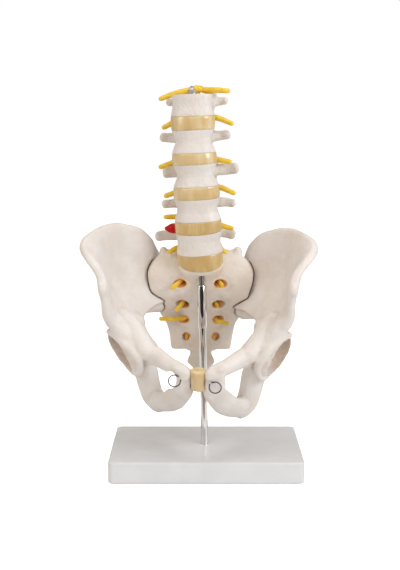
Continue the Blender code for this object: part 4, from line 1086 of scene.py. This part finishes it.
def metal_material(name, colour, roughness, streak):
    """Metal with fine wipe marks along its length."""
    made, tree, shader = shader_of(name, colour, roughness, 1.0)
    wipes = ramp(tree, noise_on(tree, 900.0, 4.0, 0.6, (1, 1, 0.04)), 0.3, 0.7)
    smudge = ramp(tree, noise_on(tree, 90.0, 3.0), 0.4, 0.7)
    share = maths(tree, "MULTIPLY", maths(tree, "ADD", wipes, smudge), 0.5)
    tree.links.new(ramp(tree, share, 0, 1, roughness, roughness + streak), shader.inputs["Roughness"])
    dull = tuple(0.8 * c for c in colour[:3]) + (1,)
    tree.links.new(mixed(tree, ramp(tree, share, 0, 1, 0, 0.3), colour, dull), shader.inputs["Base Color"])
    return made


GROUPS = {}
FINISHES = {}


def make_finishes():
    """The shader groups and materials, once for the whole model."""
    settings = bpy.context.scene.anatomy
    GROUPS["mottle"] = mottle_group()
    GROUPS["crevice"] = crevice_group()
    ivory = (*settings.bone_colour, 1)
    white = (*settings.vertebra_colour, 1)
    amber = (*settings.disc_colour, 1)
    # Each bone finish: its light and warm colours, the brown of the painted shade in its hollows (and of the
    # hips' stain by the pubic disc), the dark of the painted shade in its joint gaps, and its roughness.
    FINISHES["ivory"] = bone_material(
        "ivory bone", ivory, (0.72, 0.655, 0.60, 1), (0.45, 0.27, 0.14, 1), (0.20, 0.075, 0.02, 1), 0.42)
    FINISHES["white"] = bone_material(
        "white bone", white, (0.72, 0.66, 0.61, 1), (0.50, 0.33, 0.20, 1), (0.20, 0.09, 0.04, 1), 0.38,
        strength=0.35, relief=0.00042)
    # The sacrum's finish is the hips' ivory made lighter and warmer: painted light that makes up for the shade
    # the sacrum lies in between the hip bones.
    FINISHES["sacral"] = bone_material(
        "sacral bone", (0.85, 0.79, 0.725, 1), (0.78, 0.695, 0.60, 1), (0.52, 0.31, 0.16, 1),
        (0.20, 0.075, 0.02, 1), 0.42)
    FINISHES["wire"] = metal_material("dark wire", (0.075, 0.07, 0.065, 1), 0.3, 0.1)
    FINISHES["stud"] = metal_material("dark stud", (0.30, 0.28, 0.26, 1), 0.25, 0.1)
    FINISHES["disc"] = gel_material("disc amber", amber, (0.62, 0.42, 0.16, 1), 0.2)
    FINISHES["pubic"] = gel_material("pubic disc amber", (0.84, 0.72, 0.50, 1), (0.66, 0.51, 0.27, 1), 0.3)
    FINISHES["nerve"] = nerve_material()
    FINISHES["red"] = plain_plastic("burst disc red", (0.55, 0.006, 0.004, 1), (0.42, 0.004, 0.003, 1), 0.3)
    dial(FINISHES["red"].node_tree.nodes["Principled BSDF"], Specular_IOR_Level=0.2)
    FINISHES["chrome"] = metal_material("chrome", (0.80, 0.79, 0.78, 1), 0.06, 0.08)
    FINISHES["steel"] = metal_material("dull steel", (0.42, 0.41, 0.40, 1), 0.28, 0.15)
    FINISHES["base"] = plain_plastic(
        "base grey", (*settings.base_colour, 1), (0.70, 0.715, 0.73, 1), 0.32, 0.00008)


# Pieces


def make_base():
    """The base plate with soft edges, open below."""
    settings = bpy.context.scene.anatomy
    low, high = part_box("base_plate")
    plate = object_of("base_plate_shell", [rounded_box(
        (high.x - low.x) / MM, (high.y - low.y) / MM, 0, BASE_HEIGHT, BASE_CORNER, sides=8)])
    edge = plate.modifiers.new("soft edge", "BEVEL")
    edge.width = settings.base_edge
    edge.segments = 6
    edge.limit_method = "ANGLE"
    edge.angle_limit = math.radians(60)
    settle(plate)
    carve(plate, object_of("foot", [rounded_box(BASE_WIDTH + 10, BASE_DEPTH + 10, -5, 0, BASE_CORNER)]))
    span_x = (BASE_WIDTH - 2 * BASE_WALL - BASE_RIB) / 2
    span_y = (BASE_DEPTH - 2 * BASE_WALL - BASE_RIB) / 2
    for side_x in (-1, 1):
        for side_y in (-1, 1):
            pocket = rounded_box(span_x, span_y, -1, BASE_HEIGHT - BASE_WALL, 4, sides=6)
            pocket.transform(Matrix.Translation(Vector((
                side_x * (span_x + BASE_RIB) / 2, side_y * (span_y + BASE_RIB) / 2, 0)) * MM))
            cutter = object_of("pocket", [pocket])
            carve(cutter, object_of("boss", [cylinder(
                (SOCKET_SHIFT, 0, -2), (SOCKET_SHIFT, 0, BASE_HEIGHT), BASE_BOSS / 2, sides=48)]))
            carve(plate, cutter)
    carve(plate, placed("socket", [cylinder(
        (0, 0, -SOCKET_DEPTH), (0, 0, 2), POLE_DIAMETER / 2 + BORE_CLEARANCE, sides=48)], pole_pose()))
    carried(plate, FINISHES["base"], "base", "base_plate", angle=35)


def thread_tree():
    """Geometry Nodes for a threaded stud: rings of one section, repeated up its length."""
    tree = bpy.data.node_groups.new("stud thread", "GeometryNodeTree")
    tree.is_modifier = True
    for label, kind, default in (("Pitch", "NodeSocketFloat", 0.001), ("Radius", "NodeSocketFloat", 0.0025),
                                 ("Turns", "NodeSocketInt", 10), ("Depth", "NodeSocketFloat", 0.0004),
                                 ("Finish", "NodeSocketMaterial", None)):
        made = tree.interface.new_socket(name=label, in_out="INPUT", socket_type=kind)
        if default is not None:
            made.default_value = default
    tree.interface.new_socket(name="Geometry", in_out="OUTPUT", socket_type="NodeSocketGeometry")
    entry, leave = tree.nodes.new("NodeGroupInput"), tree.nodes.new("NodeGroupOutput")
    line = node(tree, "GeometryNodeMeshLine", {"mode": "OFFSET"})
    step = tree.nodes.new("ShaderNodeCombineXYZ")
    circle = node(tree, "GeometryNodeCurvePrimitiveCircle", Resolution=32)
    section = node(tree, "GeometryNodeCurvePrimitiveCircle", Resolution=6)
    bar = tree.nodes.new("GeometryNodeCurveToMesh")
    spread = tree.nodes.new("GeometryNodeInstanceOnPoints")
    real = tree.nodes.new("GeometryNodeRealizeInstances")
    paint = tree.nodes.new("GeometryNodeSetMaterial")
    wire_up(
        tree,
        (entry.outputs["Pitch"], step.inputs["Z"]), (step.outputs[0], line.inputs["Offset"]),
        (entry.outputs["Turns"], line.inputs["Count"]), (entry.outputs["Radius"], circle.inputs["Radius"]),
        (entry.outputs["Depth"], section.inputs["Radius"]), (circle.outputs[0], bar.inputs["Curve"]),
        (section.outputs[0], bar.inputs["Profile Curve"]), (line.outputs[0], spread.inputs["Points"]),
        (bar.outputs[0], spread.inputs["Instance"]), (spread.outputs[0], real.inputs[0]),
        (real.outputs[0], paint.inputs["Geometry"]), (entry.outputs["Finish"], paint.inputs["Material"]),
        (paint.outputs[0], leave.inputs[0]))
    return tree


def grown_by(name, tree, **values):
    """An object whose mesh a Geometry Nodes tree makes from the values."""
    made = bpy.data.objects.new(name, bpy.data.meshes.new(name))
    bpy.context.scene.collection.objects.link(made)
    grower = made.modifiers.new("grow", "NODES")
    grower.node_group = tree
    sockets = {item.name: item.identifier for item in tree.interface.items_tree if item.in_out == "INPUT"}
    for key, value in values.items():
        grower[sockets[key]] = value
    return settle(made)


def make_pole():
    """The rod, the sleeve and the threaded stud."""
    pose = pole_pose()
    rod_top = POLE_LENGTH - SLEEVE_CAP - SEAT_GAP
    radius = POLE_DIAMETER / 2
    foot = SEAT_GAP - SOCKET_DEPTH
    rod = lathe("pole_rod_bright", [(0, rod_top), (radius - 1, rod_top), (radius, rod_top - 1),
                                    (radius, foot + 0.6), (radius - 0.6, foot), (0, foot)])
    rod.matrix_world = pose
    carried(rod, FINISHES["chrome"], "chrome", "pole_rod", angle=30)
    outer, bore = SLEEVE_DIAMETER / 2, radius + BORE_CLEARANCE
    throat = STUD_DIAMETER / 2 + BORE_CLEARANCE
    foot, roof = POLE_LENGTH - SLEEVE_LENGTH, POLE_LENGTH - SLEEVE_CAP
    profile = [(throat, POLE_LENGTH), (outer - 1.2, POLE_LENGTH), (outer - 0.35, POLE_LENGTH - 0.3),
               (outer, POLE_LENGTH - 1.1), (outer, foot + 0.8), (outer - 0.3, foot + 0.2),
               (outer - 0.8, foot), (bore, foot), (bore, roof), (throat, roof)]
    sleeve = lathe("pole_sleeve_bright", profile, closed=True)
    sleeve.matrix_world = pose
    carried(sleeve, FINISHES["chrome"], "chrome", "pole_sleeve", angle=30)
    radius = STUD_DIAMETER / 2
    stud_foot, stud_top = roof + SEAT_GAP, POLE_LENGTH + STUD_SHOWN + STUD_IN_BONE
    core = lathe("pole_stud_core", [(0, stud_top), (radius - 1, stud_top), (radius - 0.45, stud_top - 0.6),
                                    (radius - 0.45, stud_foot), (0, stud_foot)], 32)
    turns = int((STUD_SHOWN + STUD_IN_BONE) / STUD_PITCH)
    thread = grown_by("pole_stud_thread", thread_tree(), Pitch=STUD_PITCH * MM, Radius=(radius - 0.42) * MM,
                      Turns=turns, Depth=0.4 * MM, Finish=FINISHES["stud"])
    thread.data.transform(Matrix.Translation((0, 0, (POLE_LENGTH + 0.5 * STUD_PITCH) * MM)))
    for piece in (core, thread):
        piece.matrix_world = pose
    carried(core, FINISHES["stud"], "steel", "pole_stud", angle=30)
    carried(thread, FINISHES["stud"], "steel")


def pelvis_and_levels():
    """The pelvis pose, the poses of the vertebrae in the pelvis frame, and the same in metres."""
    poses = column_poses()
    return pelvis_pose(), poses, {level: in_metres(poses[level]) for level in ORDER}


def root_rows(name, side):
    """The stations of a nerve root and the frame that they are in."""
    pelvis, _, levels = pelvis_and_levels()
    index = ("right", "left").index(side)
    if name in SACRAL_ROOTS:
        size = LOW_ROOT_RADIUS if name == "S4" else SACRAL_ROOT_RADIUS
        route = SACRAL_ROOTS[name][index]
        sizes = ((size, 0.8 * size), (1.2 * size, 0.8 * size), (size, 0.5 * size))
        return [(*place, *radii) for place, radii in zip(route, sizes)], pelvis
    level, *sides = LUMBAR_ROOTS[name]
    route = sides[index]
    start = Vector((0, CANAL_BACK, route[0][2] + 3))
    rows = [(*start.lerp(Vector(route[0]), 0.35), ROOT_RADIUS, ROOT_RADIUS)]
    sizes = (1.35 * ROOT_RADIUS, 1.2 * ROOT_RADIUS, 1.02 * ROOT_RADIUS)
    return rows + [(*p, size, size) for p, size in zip(route, sizes)], pelvis @ levels[level]


def make_nerves():
    """The cord in the canal and its pairs of roots, orange where they lie deep in the sacrum."""
    pelvis, poses, _ = pelvis_and_levels()
    cord = placed("spinal_cord_sac", [strut(cord_stations(poses), sides=24, per_span=6)], pelvis)
    write_mask(cord, "recess_shade", np.zeros(len(cord.data.vertices)))
    carried(cord, FINISHES["nerve"], "nerve", "spinal_cord")
    for name in (*LUMBAR_ROOTS, *SACRAL_ROOTS):
        for side in ("right", "left"):
            rows, pose = root_rows(name, side)
            root = placed(f"root_{name}_{side}", [strut(rows, across=(0, 0, 1), sides=16, per_span=8)], pose)
            roughened(root, 0.35, 6, len(name) + len(side))
            depth = np.array([(pose @ Vector(p)).y for p in co_of(root)]) / MM
            # Painted shade: a sacral root turns orange from a little in front of the mouth of its hole
            # inwards.
            recess_shade = np.zeros(len(depth))
            if name in SACRAL_ROOTS:
                mouth = (pose @ (Vector(rows[1][:3]) * MM)).y / MM
                shown = 9 if name == "S4" else 4
                recess_shade = np.clip((depth - mouth + shown) / 6, 0, 1)
            write_mask(root, "recess_shade", recess_shade)
            carried(root, FINISHES["nerve"], "nerve", f"nerve_{name}_{side}")


def make_sacrum():
    """The sacrum with its coccyx, and a smooth form of it that the other bones are cut clear of."""
    pelvis = pelvis_pose()
    sacrum = moulded("sacrum_bone", sacrum_shells(), pelvis, sacrum_hollows(), seed=2)
    smooth = twin(sacrum, "smooth_sacrum")
    smooth.hide_render = True
    lid = [[cut_plate() @ Vector(p) for p in kidney(ENDPLATE_WIDTH + 8, BODY_DEPTH + 6, h)] for h in (0, 9)]
    carve(sacrum, placed("lid", [skin(lid)], pelvis))
    top = POLE_LENGTH + STUD_SHOWN + STUD_IN_BONE + BORE_CLEARANCE
    carve(sacrum, placed("bore", [cylinder(
        (0, 0, POLE_LENGTH + 1), (0, 0, top), STUD_DIAMETER / 2 + BORE_CLEARANCE, sides=24)], pole_pose()))
    x, y, z = co_of(sacrum).T / MM
    tunnel, funnel_shade = np.zeros((2, len(x)))
    for out, front, height, wide, high in FORAMINA:
        for sign in (-1, 1):
            away = np.hypot((x - sign * (out - 1)) / (wide + 1), (z - height - 1) / (high + 1))
            in_front = y < front + 30
            deep = np.clip((y - front - 1) / 9, 0, 1)
            inside = in_front & (away < 1.25)
            tunnel = np.maximum(tunnel, np.where(inside, deep * np.clip(2.5 - 2 * away, 0, 1), 0))
            # Painted shade: a ring of brown round each opening, stronger on its outer side, goes into the
            # hollow mask.
            around = np.where(in_front, np.clip(2.4 - away, 0, 1) * 0.4, 0)
            lateral = np.clip(0.5 + 0.12 * (sign * x - out), 0, 1)
            funnel_shade = np.maximum(funnel_shade, around * lateral)
    write_mask(sacrum, "hollow", np.clip(hollow_of(sacrum, 14, 1.1) + funnel_shade, 0, 1))
    write_mask(sacrum, "recess_shade", np.zeros(len(x)))
    facing_back = normals_of(sacrum)[:, 1] > 0.3
    write_mask(sacrum, "tunnel", np.where(facing_back, 0, averaged(sacrum, tunnel, 2)))
    carried(sacrum, FINISHES["sacral"], "bone", "sacrum")


def near_mask(obj, other, reach):
    """One where a point touches the other object, falling to nought at the reach in millimetres."""
    points = co_of(other)
    tree = KDTree(len(points))
    for i, p in enumerate(points):
        tree.insert(other.matrix_world @ Vector(p), i)
    tree.balance()
    gaps = np.array([tree.find(obj.matrix_world @ Vector(p))[2] for p in co_of(obj)]) / MM
    return np.clip(1 - gaps / reach, 0, 1)


def joint_shade(obj, other):
    """The dark line where a bone meets its neighbour."""
    return np.clip(1.5 * near_mask(obj, other, JOINT_SHADE), 0, 1)


# Width of the painted shade line beside a joint
JOINT_SHADE = 2.1

# The open hole of the viewer's left hip bone, which is rounder towards the middle than the right one's
WIDER_HOLE = ((-30.4, -110, -96.2, 7.5, 9.8), (-31.1, -85, -102.2, 7.5, 9.8), (-32.3, -40, -113, 7.5, 9.8))

# Share of brown around the disc between the pubic bones
PUBIC_WASH = {"right": 0.4, "left": 0.15}


def make_hips():
    """The two hip bones, the screws behind them, the wire rings and the disc between them."""
    pelvis = pelvis_pose()
    smooth = bpy.data.objects["smooth_sacrum"]
    half = SYMPHYSIS_WIDTH / 2
    rows = [(x, y, z, half * share, depth) for x, y, z, share, depth in SYMPHYSIS]
    disc = placed("pubic_disc_gel", [strut(rows, sides=32, per_span=6)], pelvis)
    half_pelvis = moulded("half_pelvis", hip_shells(), Matrix.Identity(4), hip_hollows(), seed=5)
    for side, sign in (("left", 1), ("right", -1)):
        hip = twin(half_pelvis, f"{side}_hip")
        hip.data.transform(Matrix.Scale(sign, 4, (1, 0, 0)))
        if sign < 0:
            hip.data.flip_normals()
        pivot = Matrix.Translation(Vector(HIP_PIVOT) * MM)
        pitch = Matrix.Rotation(math.radians(-sign * HIP_PITCH), 4, "X")
        hip.matrix_world = pelvis @ pivot @ pitch @ pivot.inverted()
        if side == "right":
            carve(hip, placed("wider_hole", [strut(WIDER_HOLE, sides=32)], pelvis))
            fuse(hip, 1.0, 6)
        clear_of(hip, smooth, gap=0.6 * JOINT_GAP)
        clear_of(hip, disc)
        near_disc = near_mask(hip, disc, 13) * PUBIC_WASH[side]
        # Painted shade in the socket's cup, added to the hollow mask together with the brown stain by the
        # pubic disc.
        middle = socket_middle()
        middle.x *= sign
        cup = np.clip((25 - np.linalg.norm(co_of(hip) / MM - np.array(middle), axis=1)) / 4, 0, 0.5)
        write_mask(hip, "hollow", np.clip(hollow_of(hip, 20, 1.6) + near_disc + cup, 0, 1))
        # Painted shade in the gap against the sacrum.
        write_mask(hip, "recess_shade", joint_shade(hip, smooth))
        carried(hip, FINISHES["ivory"], "bone", f"{side}_hip_bone")
        ring = placed(f"{side}_ring_wire", [ring_wire(*RINGS[side])], pelvis)
        carried(ring, FINISHES["wire"], "steel", f"{side}_pubic_ring")
    bpy.data.objects.remove(half_pelvis)
    sacrum = bpy.data.objects["sacrum_bone"]
    # The sacrum gets the same painted shade along both joints.
    beside = [joint_shade(sacrum, bpy.data.objects[name]) for name in ("left_hip", "right_hip")]
    sacrum.data.attributes["recess_shade"].data.foreach_set("value", np.maximum(*beside).astype(np.float32))
    roughened(disc, 0.6, 5, 3)
    carried(disc, FINISHES["pubic"], "disc", "pubic_disc")
    finish_nodes("left_sacroiliac_screw", "right_sacroiliac_screw")


def finish_nodes(*names):
    """Gives the CAD nodes that stay in view a steel finish."""
    for name in names:
        materials = bpy.data.objects[name].data.materials
        materials.clear()
        materials.append(FINISHES["steel"])


# Rings of a disc from its foot to its top: share of the height, how far the edge is rounded in
DISC_RINGS = ((0, 0.7), (0.02, 0.25), (0.07, 0), (0.2, 0), (0.5, 0), (0.8, 0), (0.93, 0), (0.98, 0.25),
              (1, 0.7))


def disc_shell(above, below, upper_width, lower_width):
    """A disc flush with the two flat end faces that it fills, each given as the pose of its middle."""
    rings = []
    for t, inset in DISC_RINGS:
        width = lower_width + (upper_width - lower_width) * t
        swell = 0.5 * math.sin(math.pi * t) - inset
        ring = []
        for point in kidney(width + 2 * swell, BODY_DEPTH + 2 * swell, 0, 96):
            low = below @ (Vector(point) + Vector((0, 0, DISC_GAP)))
            high = above @ (Vector(point) - Vector((0, 0, DISC_GAP)))
            ring.append(low.lerp(high, t))
        rings.append(ring)
    return skin(rings)


def cut_height(level, side):
    """Height of the upper (1) or lower (-1) face of a vertebral body over its middle, where it is cut off."""
    return side * BODY_HEIGHT / 2 + RISES[level][side > 0]


def cut_face(poses, level, side):
    """Pose of the middle of that face, in the pelvis frame."""
    return poses[level] @ Matrix.Translation((0, 0, cut_height(level, side)))


def cut_plate():
    """Pose of the middle of the sacrum's upper face, where it is cut off."""
    return endplate_pose() @ Matrix.Translation((0, 0, PLATE_RISE))


def make_column():
    """The vertebrae, the discs under them, the burst disc, and the rod with its nut."""
    pelvis, poses, levels = pelvis_and_levels()
    below = bpy.data.objects["smooth_sacrum"]
    lower, lower_width, under = cut_plate(), ENDPLATE_WIDTH, "S1"
    for number, level in enumerate(ORDER):
        pose = pelvis @ levels[level]
        vertebra = moulded(f"{level}_bone", vertebra_shells(level), pose,
                           voxel=0.8, rounds=8, seed=7 + number)
        smooth = twin(vertebra, "smooth_vertebra")
        for face in (-1, 1):
            cut = cut_height(level, face)
            slab = [kidney(WIDTHS[level] + 8, BODY_DEPTH + 3, cut + face * h) for h in (0, 8)]
            carve(vertebra, placed("slab", [skin(slab)], pose))
        clear_of(vertebra, below, gap=2 * SEAT_GAP)
        bpy.data.objects.remove(below)
        # Painted shade in the hollows, kept weaker out on the processes.
        out = np.abs(co_of(vertebra)[:, 0]) / MM
        clean = 1 - np.clip((out - 24) / 6, 0, 0.8)
        write_mask(vertebra, "hollow", np.clip(hollow_of(vertebra, 14, 1.2), 0, 1) * clean)
        write_mask(vertebra, "recess_shade", np.zeros(len(out)))
        shell = disc_shell(cut_face(poses, level, -1), lower, WIDTHS[level], lower_width)
        disc = placed(f"disc_gel_{level}_{under}", [shell], pelvis)
        carried(disc, FINISHES["disc"], "disc", f"disc_{level}_{under}", angle=50)
        carried(vertebra, FINISHES["white"], "bone", f"{level}_vertebra")
        below = smooth
        lower, lower_width, under = cut_face(poses, level, 1), WIDTHS[level] * TOP_SHARES[level], level
    bpy.data.objects.remove(below)
    bulge = placed("burst_disc", [strut(PROLAPSE, across=(0, 0, 1), sides=24, per_span=6)],
                   pelvis @ in_metres(end_face(poses["L5"], 1)))
    carried(bulge, FINISHES["red"], "prolapse", "disc_prolapse")
    finish_nodes("column_rod", "rod_washer", "rod_nut")


# What only reflections show, a dark side and a window: degrees round from the front, and metres away
DARK_TURNS = (-52, 36)
DARK_REACH = 0.2
WINDOW_TURNS = (62, 96)
WINDOW_REACH = 0.8
WINDOW_GLOW = 1.7

# Half width of the floor in millimetres, and how far it lies under the base in metres
FLOOR_HALF = 4000
FLOOR_DROP = 0.0002

# Camera: focal length and picture height in pixels, place in metres, degrees up from straight down
FOCAL_PIXELS = 1095
PICTURE_PIXELS = 570
CAMERA_AT = (-0.007, -1.248, 0.400)
CAMERA_TURN = 81.5


def reflected(name, finish_material, turns, reach, heights):
    """A card on an arc round the model that only its reflections show."""
    angles = [math.radians(a) for a in np.linspace(*turns, 25)]
    rim = [Vector((math.sin(a), -math.cos(a), 0)) * reach for a in angles]
    shape = [p + Vector((0, 0, h)) for h in heights for p in rim]
    count = len(rim)
    card = bpy.data.objects.new(name, bpy.data.meshes.new(name))
    bpy.context.scene.collection.objects.link(card)
    card.data.from_pydata(shape, [], [(k, k + 1, count + k + 1, count + k) for k in range(count - 1)])
    card.data.materials.append(finish_material)
    card.visible_camera = card.visible_diffuse = card.visible_shadow = card.visible_transmission = False


def make_floor(glow):
    """The pale floor, which is lifted to white in view and keeps the model's shadow."""
    corners = [(x * FLOOR_HALF, y * FLOOR_HALF) for x, y in ((-1, -1), (1, -1), (1, 1), (-1, 1))]
    floor = object_of("floor", [skin([[(x, y, z) for x, y in corners] for z in (-0.5, 0)])])
    floor.data.transform(Matrix.Translation((0, 0, -FLOOR_DROP)))
    made, tree, shader = shader_of("floor", (0.8, 0.8, 0.8, 1), 0.9)
    rays = tree.nodes.new("ShaderNodeLightPath").outputs
    seen = maths(tree, "MAXIMUM", rays["Is Camera Ray"], rays["Is Transmission Ray"])
    seen = maths(tree, "MAXIMUM", seen, maths(tree, "MULTIPLY", rays["Is Glossy Ray"], 0.3))
    dial(shader, Specular_IOR_Level=0.0, Emission_Color=(1, 1, 1, 1))
    tree.links.new(maths(tree, "MULTIPLY", seen, glow), shader.inputs["Emission Strength"])
    floor.data.materials.append(made)


def make_cards():
    """The dark side and the window that the bright metal reflects."""
    made, tree, shader = shader_of("studio dark", (0.01, 0.01, 0.01, 1), 0.9)
    height = height_on(tree)
    brown = mixed(tree, ramp(tree, height, 0.0, 0.06), (0.45, 0.38, 0.34, 1), (0.22, 0.13, 0.075, 1))
    shade = mixed(tree, ramp(tree, height, 0.07, 0.10), brown, (0.012, 0.010, 0.009, 1))
    tree.links.new(shade, shader.inputs["Emission Color"])
    dial(shader, Emission_Strength=1.0)
    reflected("dark_card", made, DARK_TURNS, DARK_REACH, (0.001, 0.32))
    made, tree, shader = shader_of("studio window", (0.01, 0.01, 0.01, 1), 0.9)
    dial(shader, Emission_Color=(1, 1, 1, 1), Emission_Strength=WINDOW_GLOW)
    reflected("window_card", made, WINDOW_TURNS, WINDOW_REACH, (0.1, 1.0))


def make_world(fill):
    """White in view, a dim warm room in reflections, and an even fill light on the model."""
    world = bpy.data.worlds.new("studio")
    bpy.context.scene.world = world
    world.use_nodes = True
    tree = world.node_tree
    background = tree.nodes["Background"]
    rays = tree.nodes.new("ShaderNodeLightPath").outputs
    seen = maths(tree, "MAXIMUM", rays["Is Camera Ray"], rays["Is Transmission Ray"])
    room = mixed(tree, rays["Is Glossy Ray"], (1, 0.93, 0.86, 1), (0.60, 0.55, 0.51, 1))
    tree.links.new(mixed(tree, seen, room, (1, 1, 1, 1)), background.inputs["Color"])
    bright = maths(tree, "MAXIMUM", seen, rays["Is Glossy Ray"])
    tree.links.new(ramp(tree, bright, 0, 1, fill, 1.0), background.inputs["Strength"])


def lamp(name, place, aim_height, size, power, colour=(1, 1, 1)):
    """A softbox that points at that height over the middle of the base."""
    light = bpy.data.lights.new(name, "AREA")
    light.shape = "RECTANGLE"
    light.size, light.size_y = size
    light.energy = power
    light.color = colour
    made = bpy.data.objects.new(name, light)
    made.location = place
    made.rotation_euler = (Vector((0, 0, aim_height)) - Vector(place)).to_track_quat("-Z", "Y").to_euler()
    bpy.context.scene.collection.objects.link(made)


def make_stage():
    """The floor, the reflected cards, the surroundings, the lamps and the camera."""
    scene = bpy.context.scene
    settings = scene.anatomy
    make_floor(settings.floor_glow)
    make_cards()
    make_world(settings.fill_light)
    power = settings.key_power
    lamp("softbox right", (1.3, -1.15, 0.95), 0.22, (0.7, 0.9), power, (0.94, 0.97, 1.0))
    lamp("softbox left", (-1.5, -1.1, 0.9), 0.22, (0.7, 0.9), power * 0.42, (1, 0.88, 0.77))
    lamp("softbox front", (-0.3, -1.8, 0.9), 0.2, (0.9, 0.7), power * 0.16)
    lamp("softbox top", (0.0, -0.2, 1.9), 0.22, (1.0, 1.0), power * 0.5)
    camera = bpy.data.objects.new("camera", bpy.data.cameras.new("camera"))
    camera.data.sensor_width = 36
    camera.data.lens = FOCAL_PIXELS * camera.data.sensor_width / PICTURE_PIXELS
    camera.location = CAMERA_AT
    camera.rotation_euler = (math.radians(CAMERA_TURN), 0, 0)
    scene.collection.objects.link(camera)
    scene.camera = camera
    scene.view_settings.view_transform = "Standard"


def colour_setting(label, words, default):
    """A colour that a user can change."""
    return bpy.props.FloatVectorProperty(
        name=label, description=words, subtype="COLOR", size=3, default=default, min=0, max=1)


class AnatomySettings(bpy.types.PropertyGroup):
    """Sizes and colours that a user would change."""

    bone_colour: colour_setting("Bone colour", "Main colour of the hip bones", (0.81, 0.78, 0.755))
    vertebra_colour: colour_setting("Vertebra colour", "Main colour of the vertebrae", (0.80, 0.76, 0.725))
    disc_colour: colour_setting("Disc colour", "Light colour of the discs", (0.78, 0.65, 0.40))
    base_colour: colour_setting("Base colour", "Colour of the base plate", (0.75, 0.765, 0.78))
    base_edge: bpy.props.FloatProperty(
        name="Base edge", description="Radius of the base plate's edges", subtype="DISTANCE", unit="LENGTH",
        default=BASE_EDGE * MM, min=0.0005, max=0.004)
    key_power: bpy.props.FloatProperty(
        name="Key power", description="Power of the softbox at the right", unit="POWER", default=15.0, min=0)
    fill_light: bpy.props.FloatProperty(
        name="Fill light", description="Strength of the light from all around", default=0.5, min=0, max=2)
    floor_glow: bpy.props.FloatProperty(
        name="Floor glow", description="How far the floor is lifted to white", default=0.9, min=0, max=1)


def operator(idname, label, words, work):
    """An operator class that runs one maker function."""

    def execute(self, context):
        work()
        return {"FINISHED"}

    return type("ANATOMY_OT_" + idname, (bpy.types.Operator,), {
        "bl_idname": "anatomy." + idname, "bl_label": label, "__doc__": words, "execute": execute})


STEPS = (
    ("finishes", "Finishes", "Makes the shader groups and the materials", make_finishes),
    ("base", "Base plate", "Makes the moulded base plate", make_base),
    ("pole", "Pole", "Makes the rod, the sleeve and the threaded stud", make_pole),
    ("nerves", "Nerves", "Makes the cord and the nerve roots", make_nerves),
    ("sacrum", "Sacrum", "Makes the sacrum with its coccyx", make_sacrum),
    ("hips", "Hip bones", "Makes the hip bones, the disc between them and the wire rings", make_hips),
    ("column", "Lumbar column", "Makes the vertebrae, the discs and the burst disc", make_column),
    ("stage", "Stage", "Makes the floor, the reflected cards, the lamps and the camera", make_stage),
)
OPERATORS = tuple(operator(*step) for step in STEPS)


class ANATOMY_PT_panel(bpy.types.Panel):
    """Lists the settings and the operators in the sidebar."""

    bl_label = "Anatomy model"
    bl_space_type = "VIEW_3D"
    bl_region_type = "UI"
    bl_category = "Anatomy"

    def draw(self, context):
        for setting in AnatomySettings.__annotations__:
            self.layout.prop(context.scene.anatomy, setting)
        for made in OPERATORS:
            self.layout.operator(made.bl_idname)


def register():
    """Registers the settings, the operators and the panel."""
    for made in (AnatomySettings, *OPERATORS, ANATOMY_PT_panel):
        bpy.utils.register_class(made)
    bpy.types.Scene.anatomy = bpy.props.PointerProperty(type=AnatomySettings)


def unregister():
    """Takes them away again."""
    del bpy.types.Scene.anatomy
    for made in (ANATOMY_PT_panel, *reversed(OPERATORS), AnatomySettings):
        bpy.utils.unregister_class(made)


def main():
    """Builds the model and writes the two boxes."""
    register()
    for name, *_ in STEPS:
        getattr(bpy.ops.anatomy, name)()


if __name__ == "__main__":
    main()
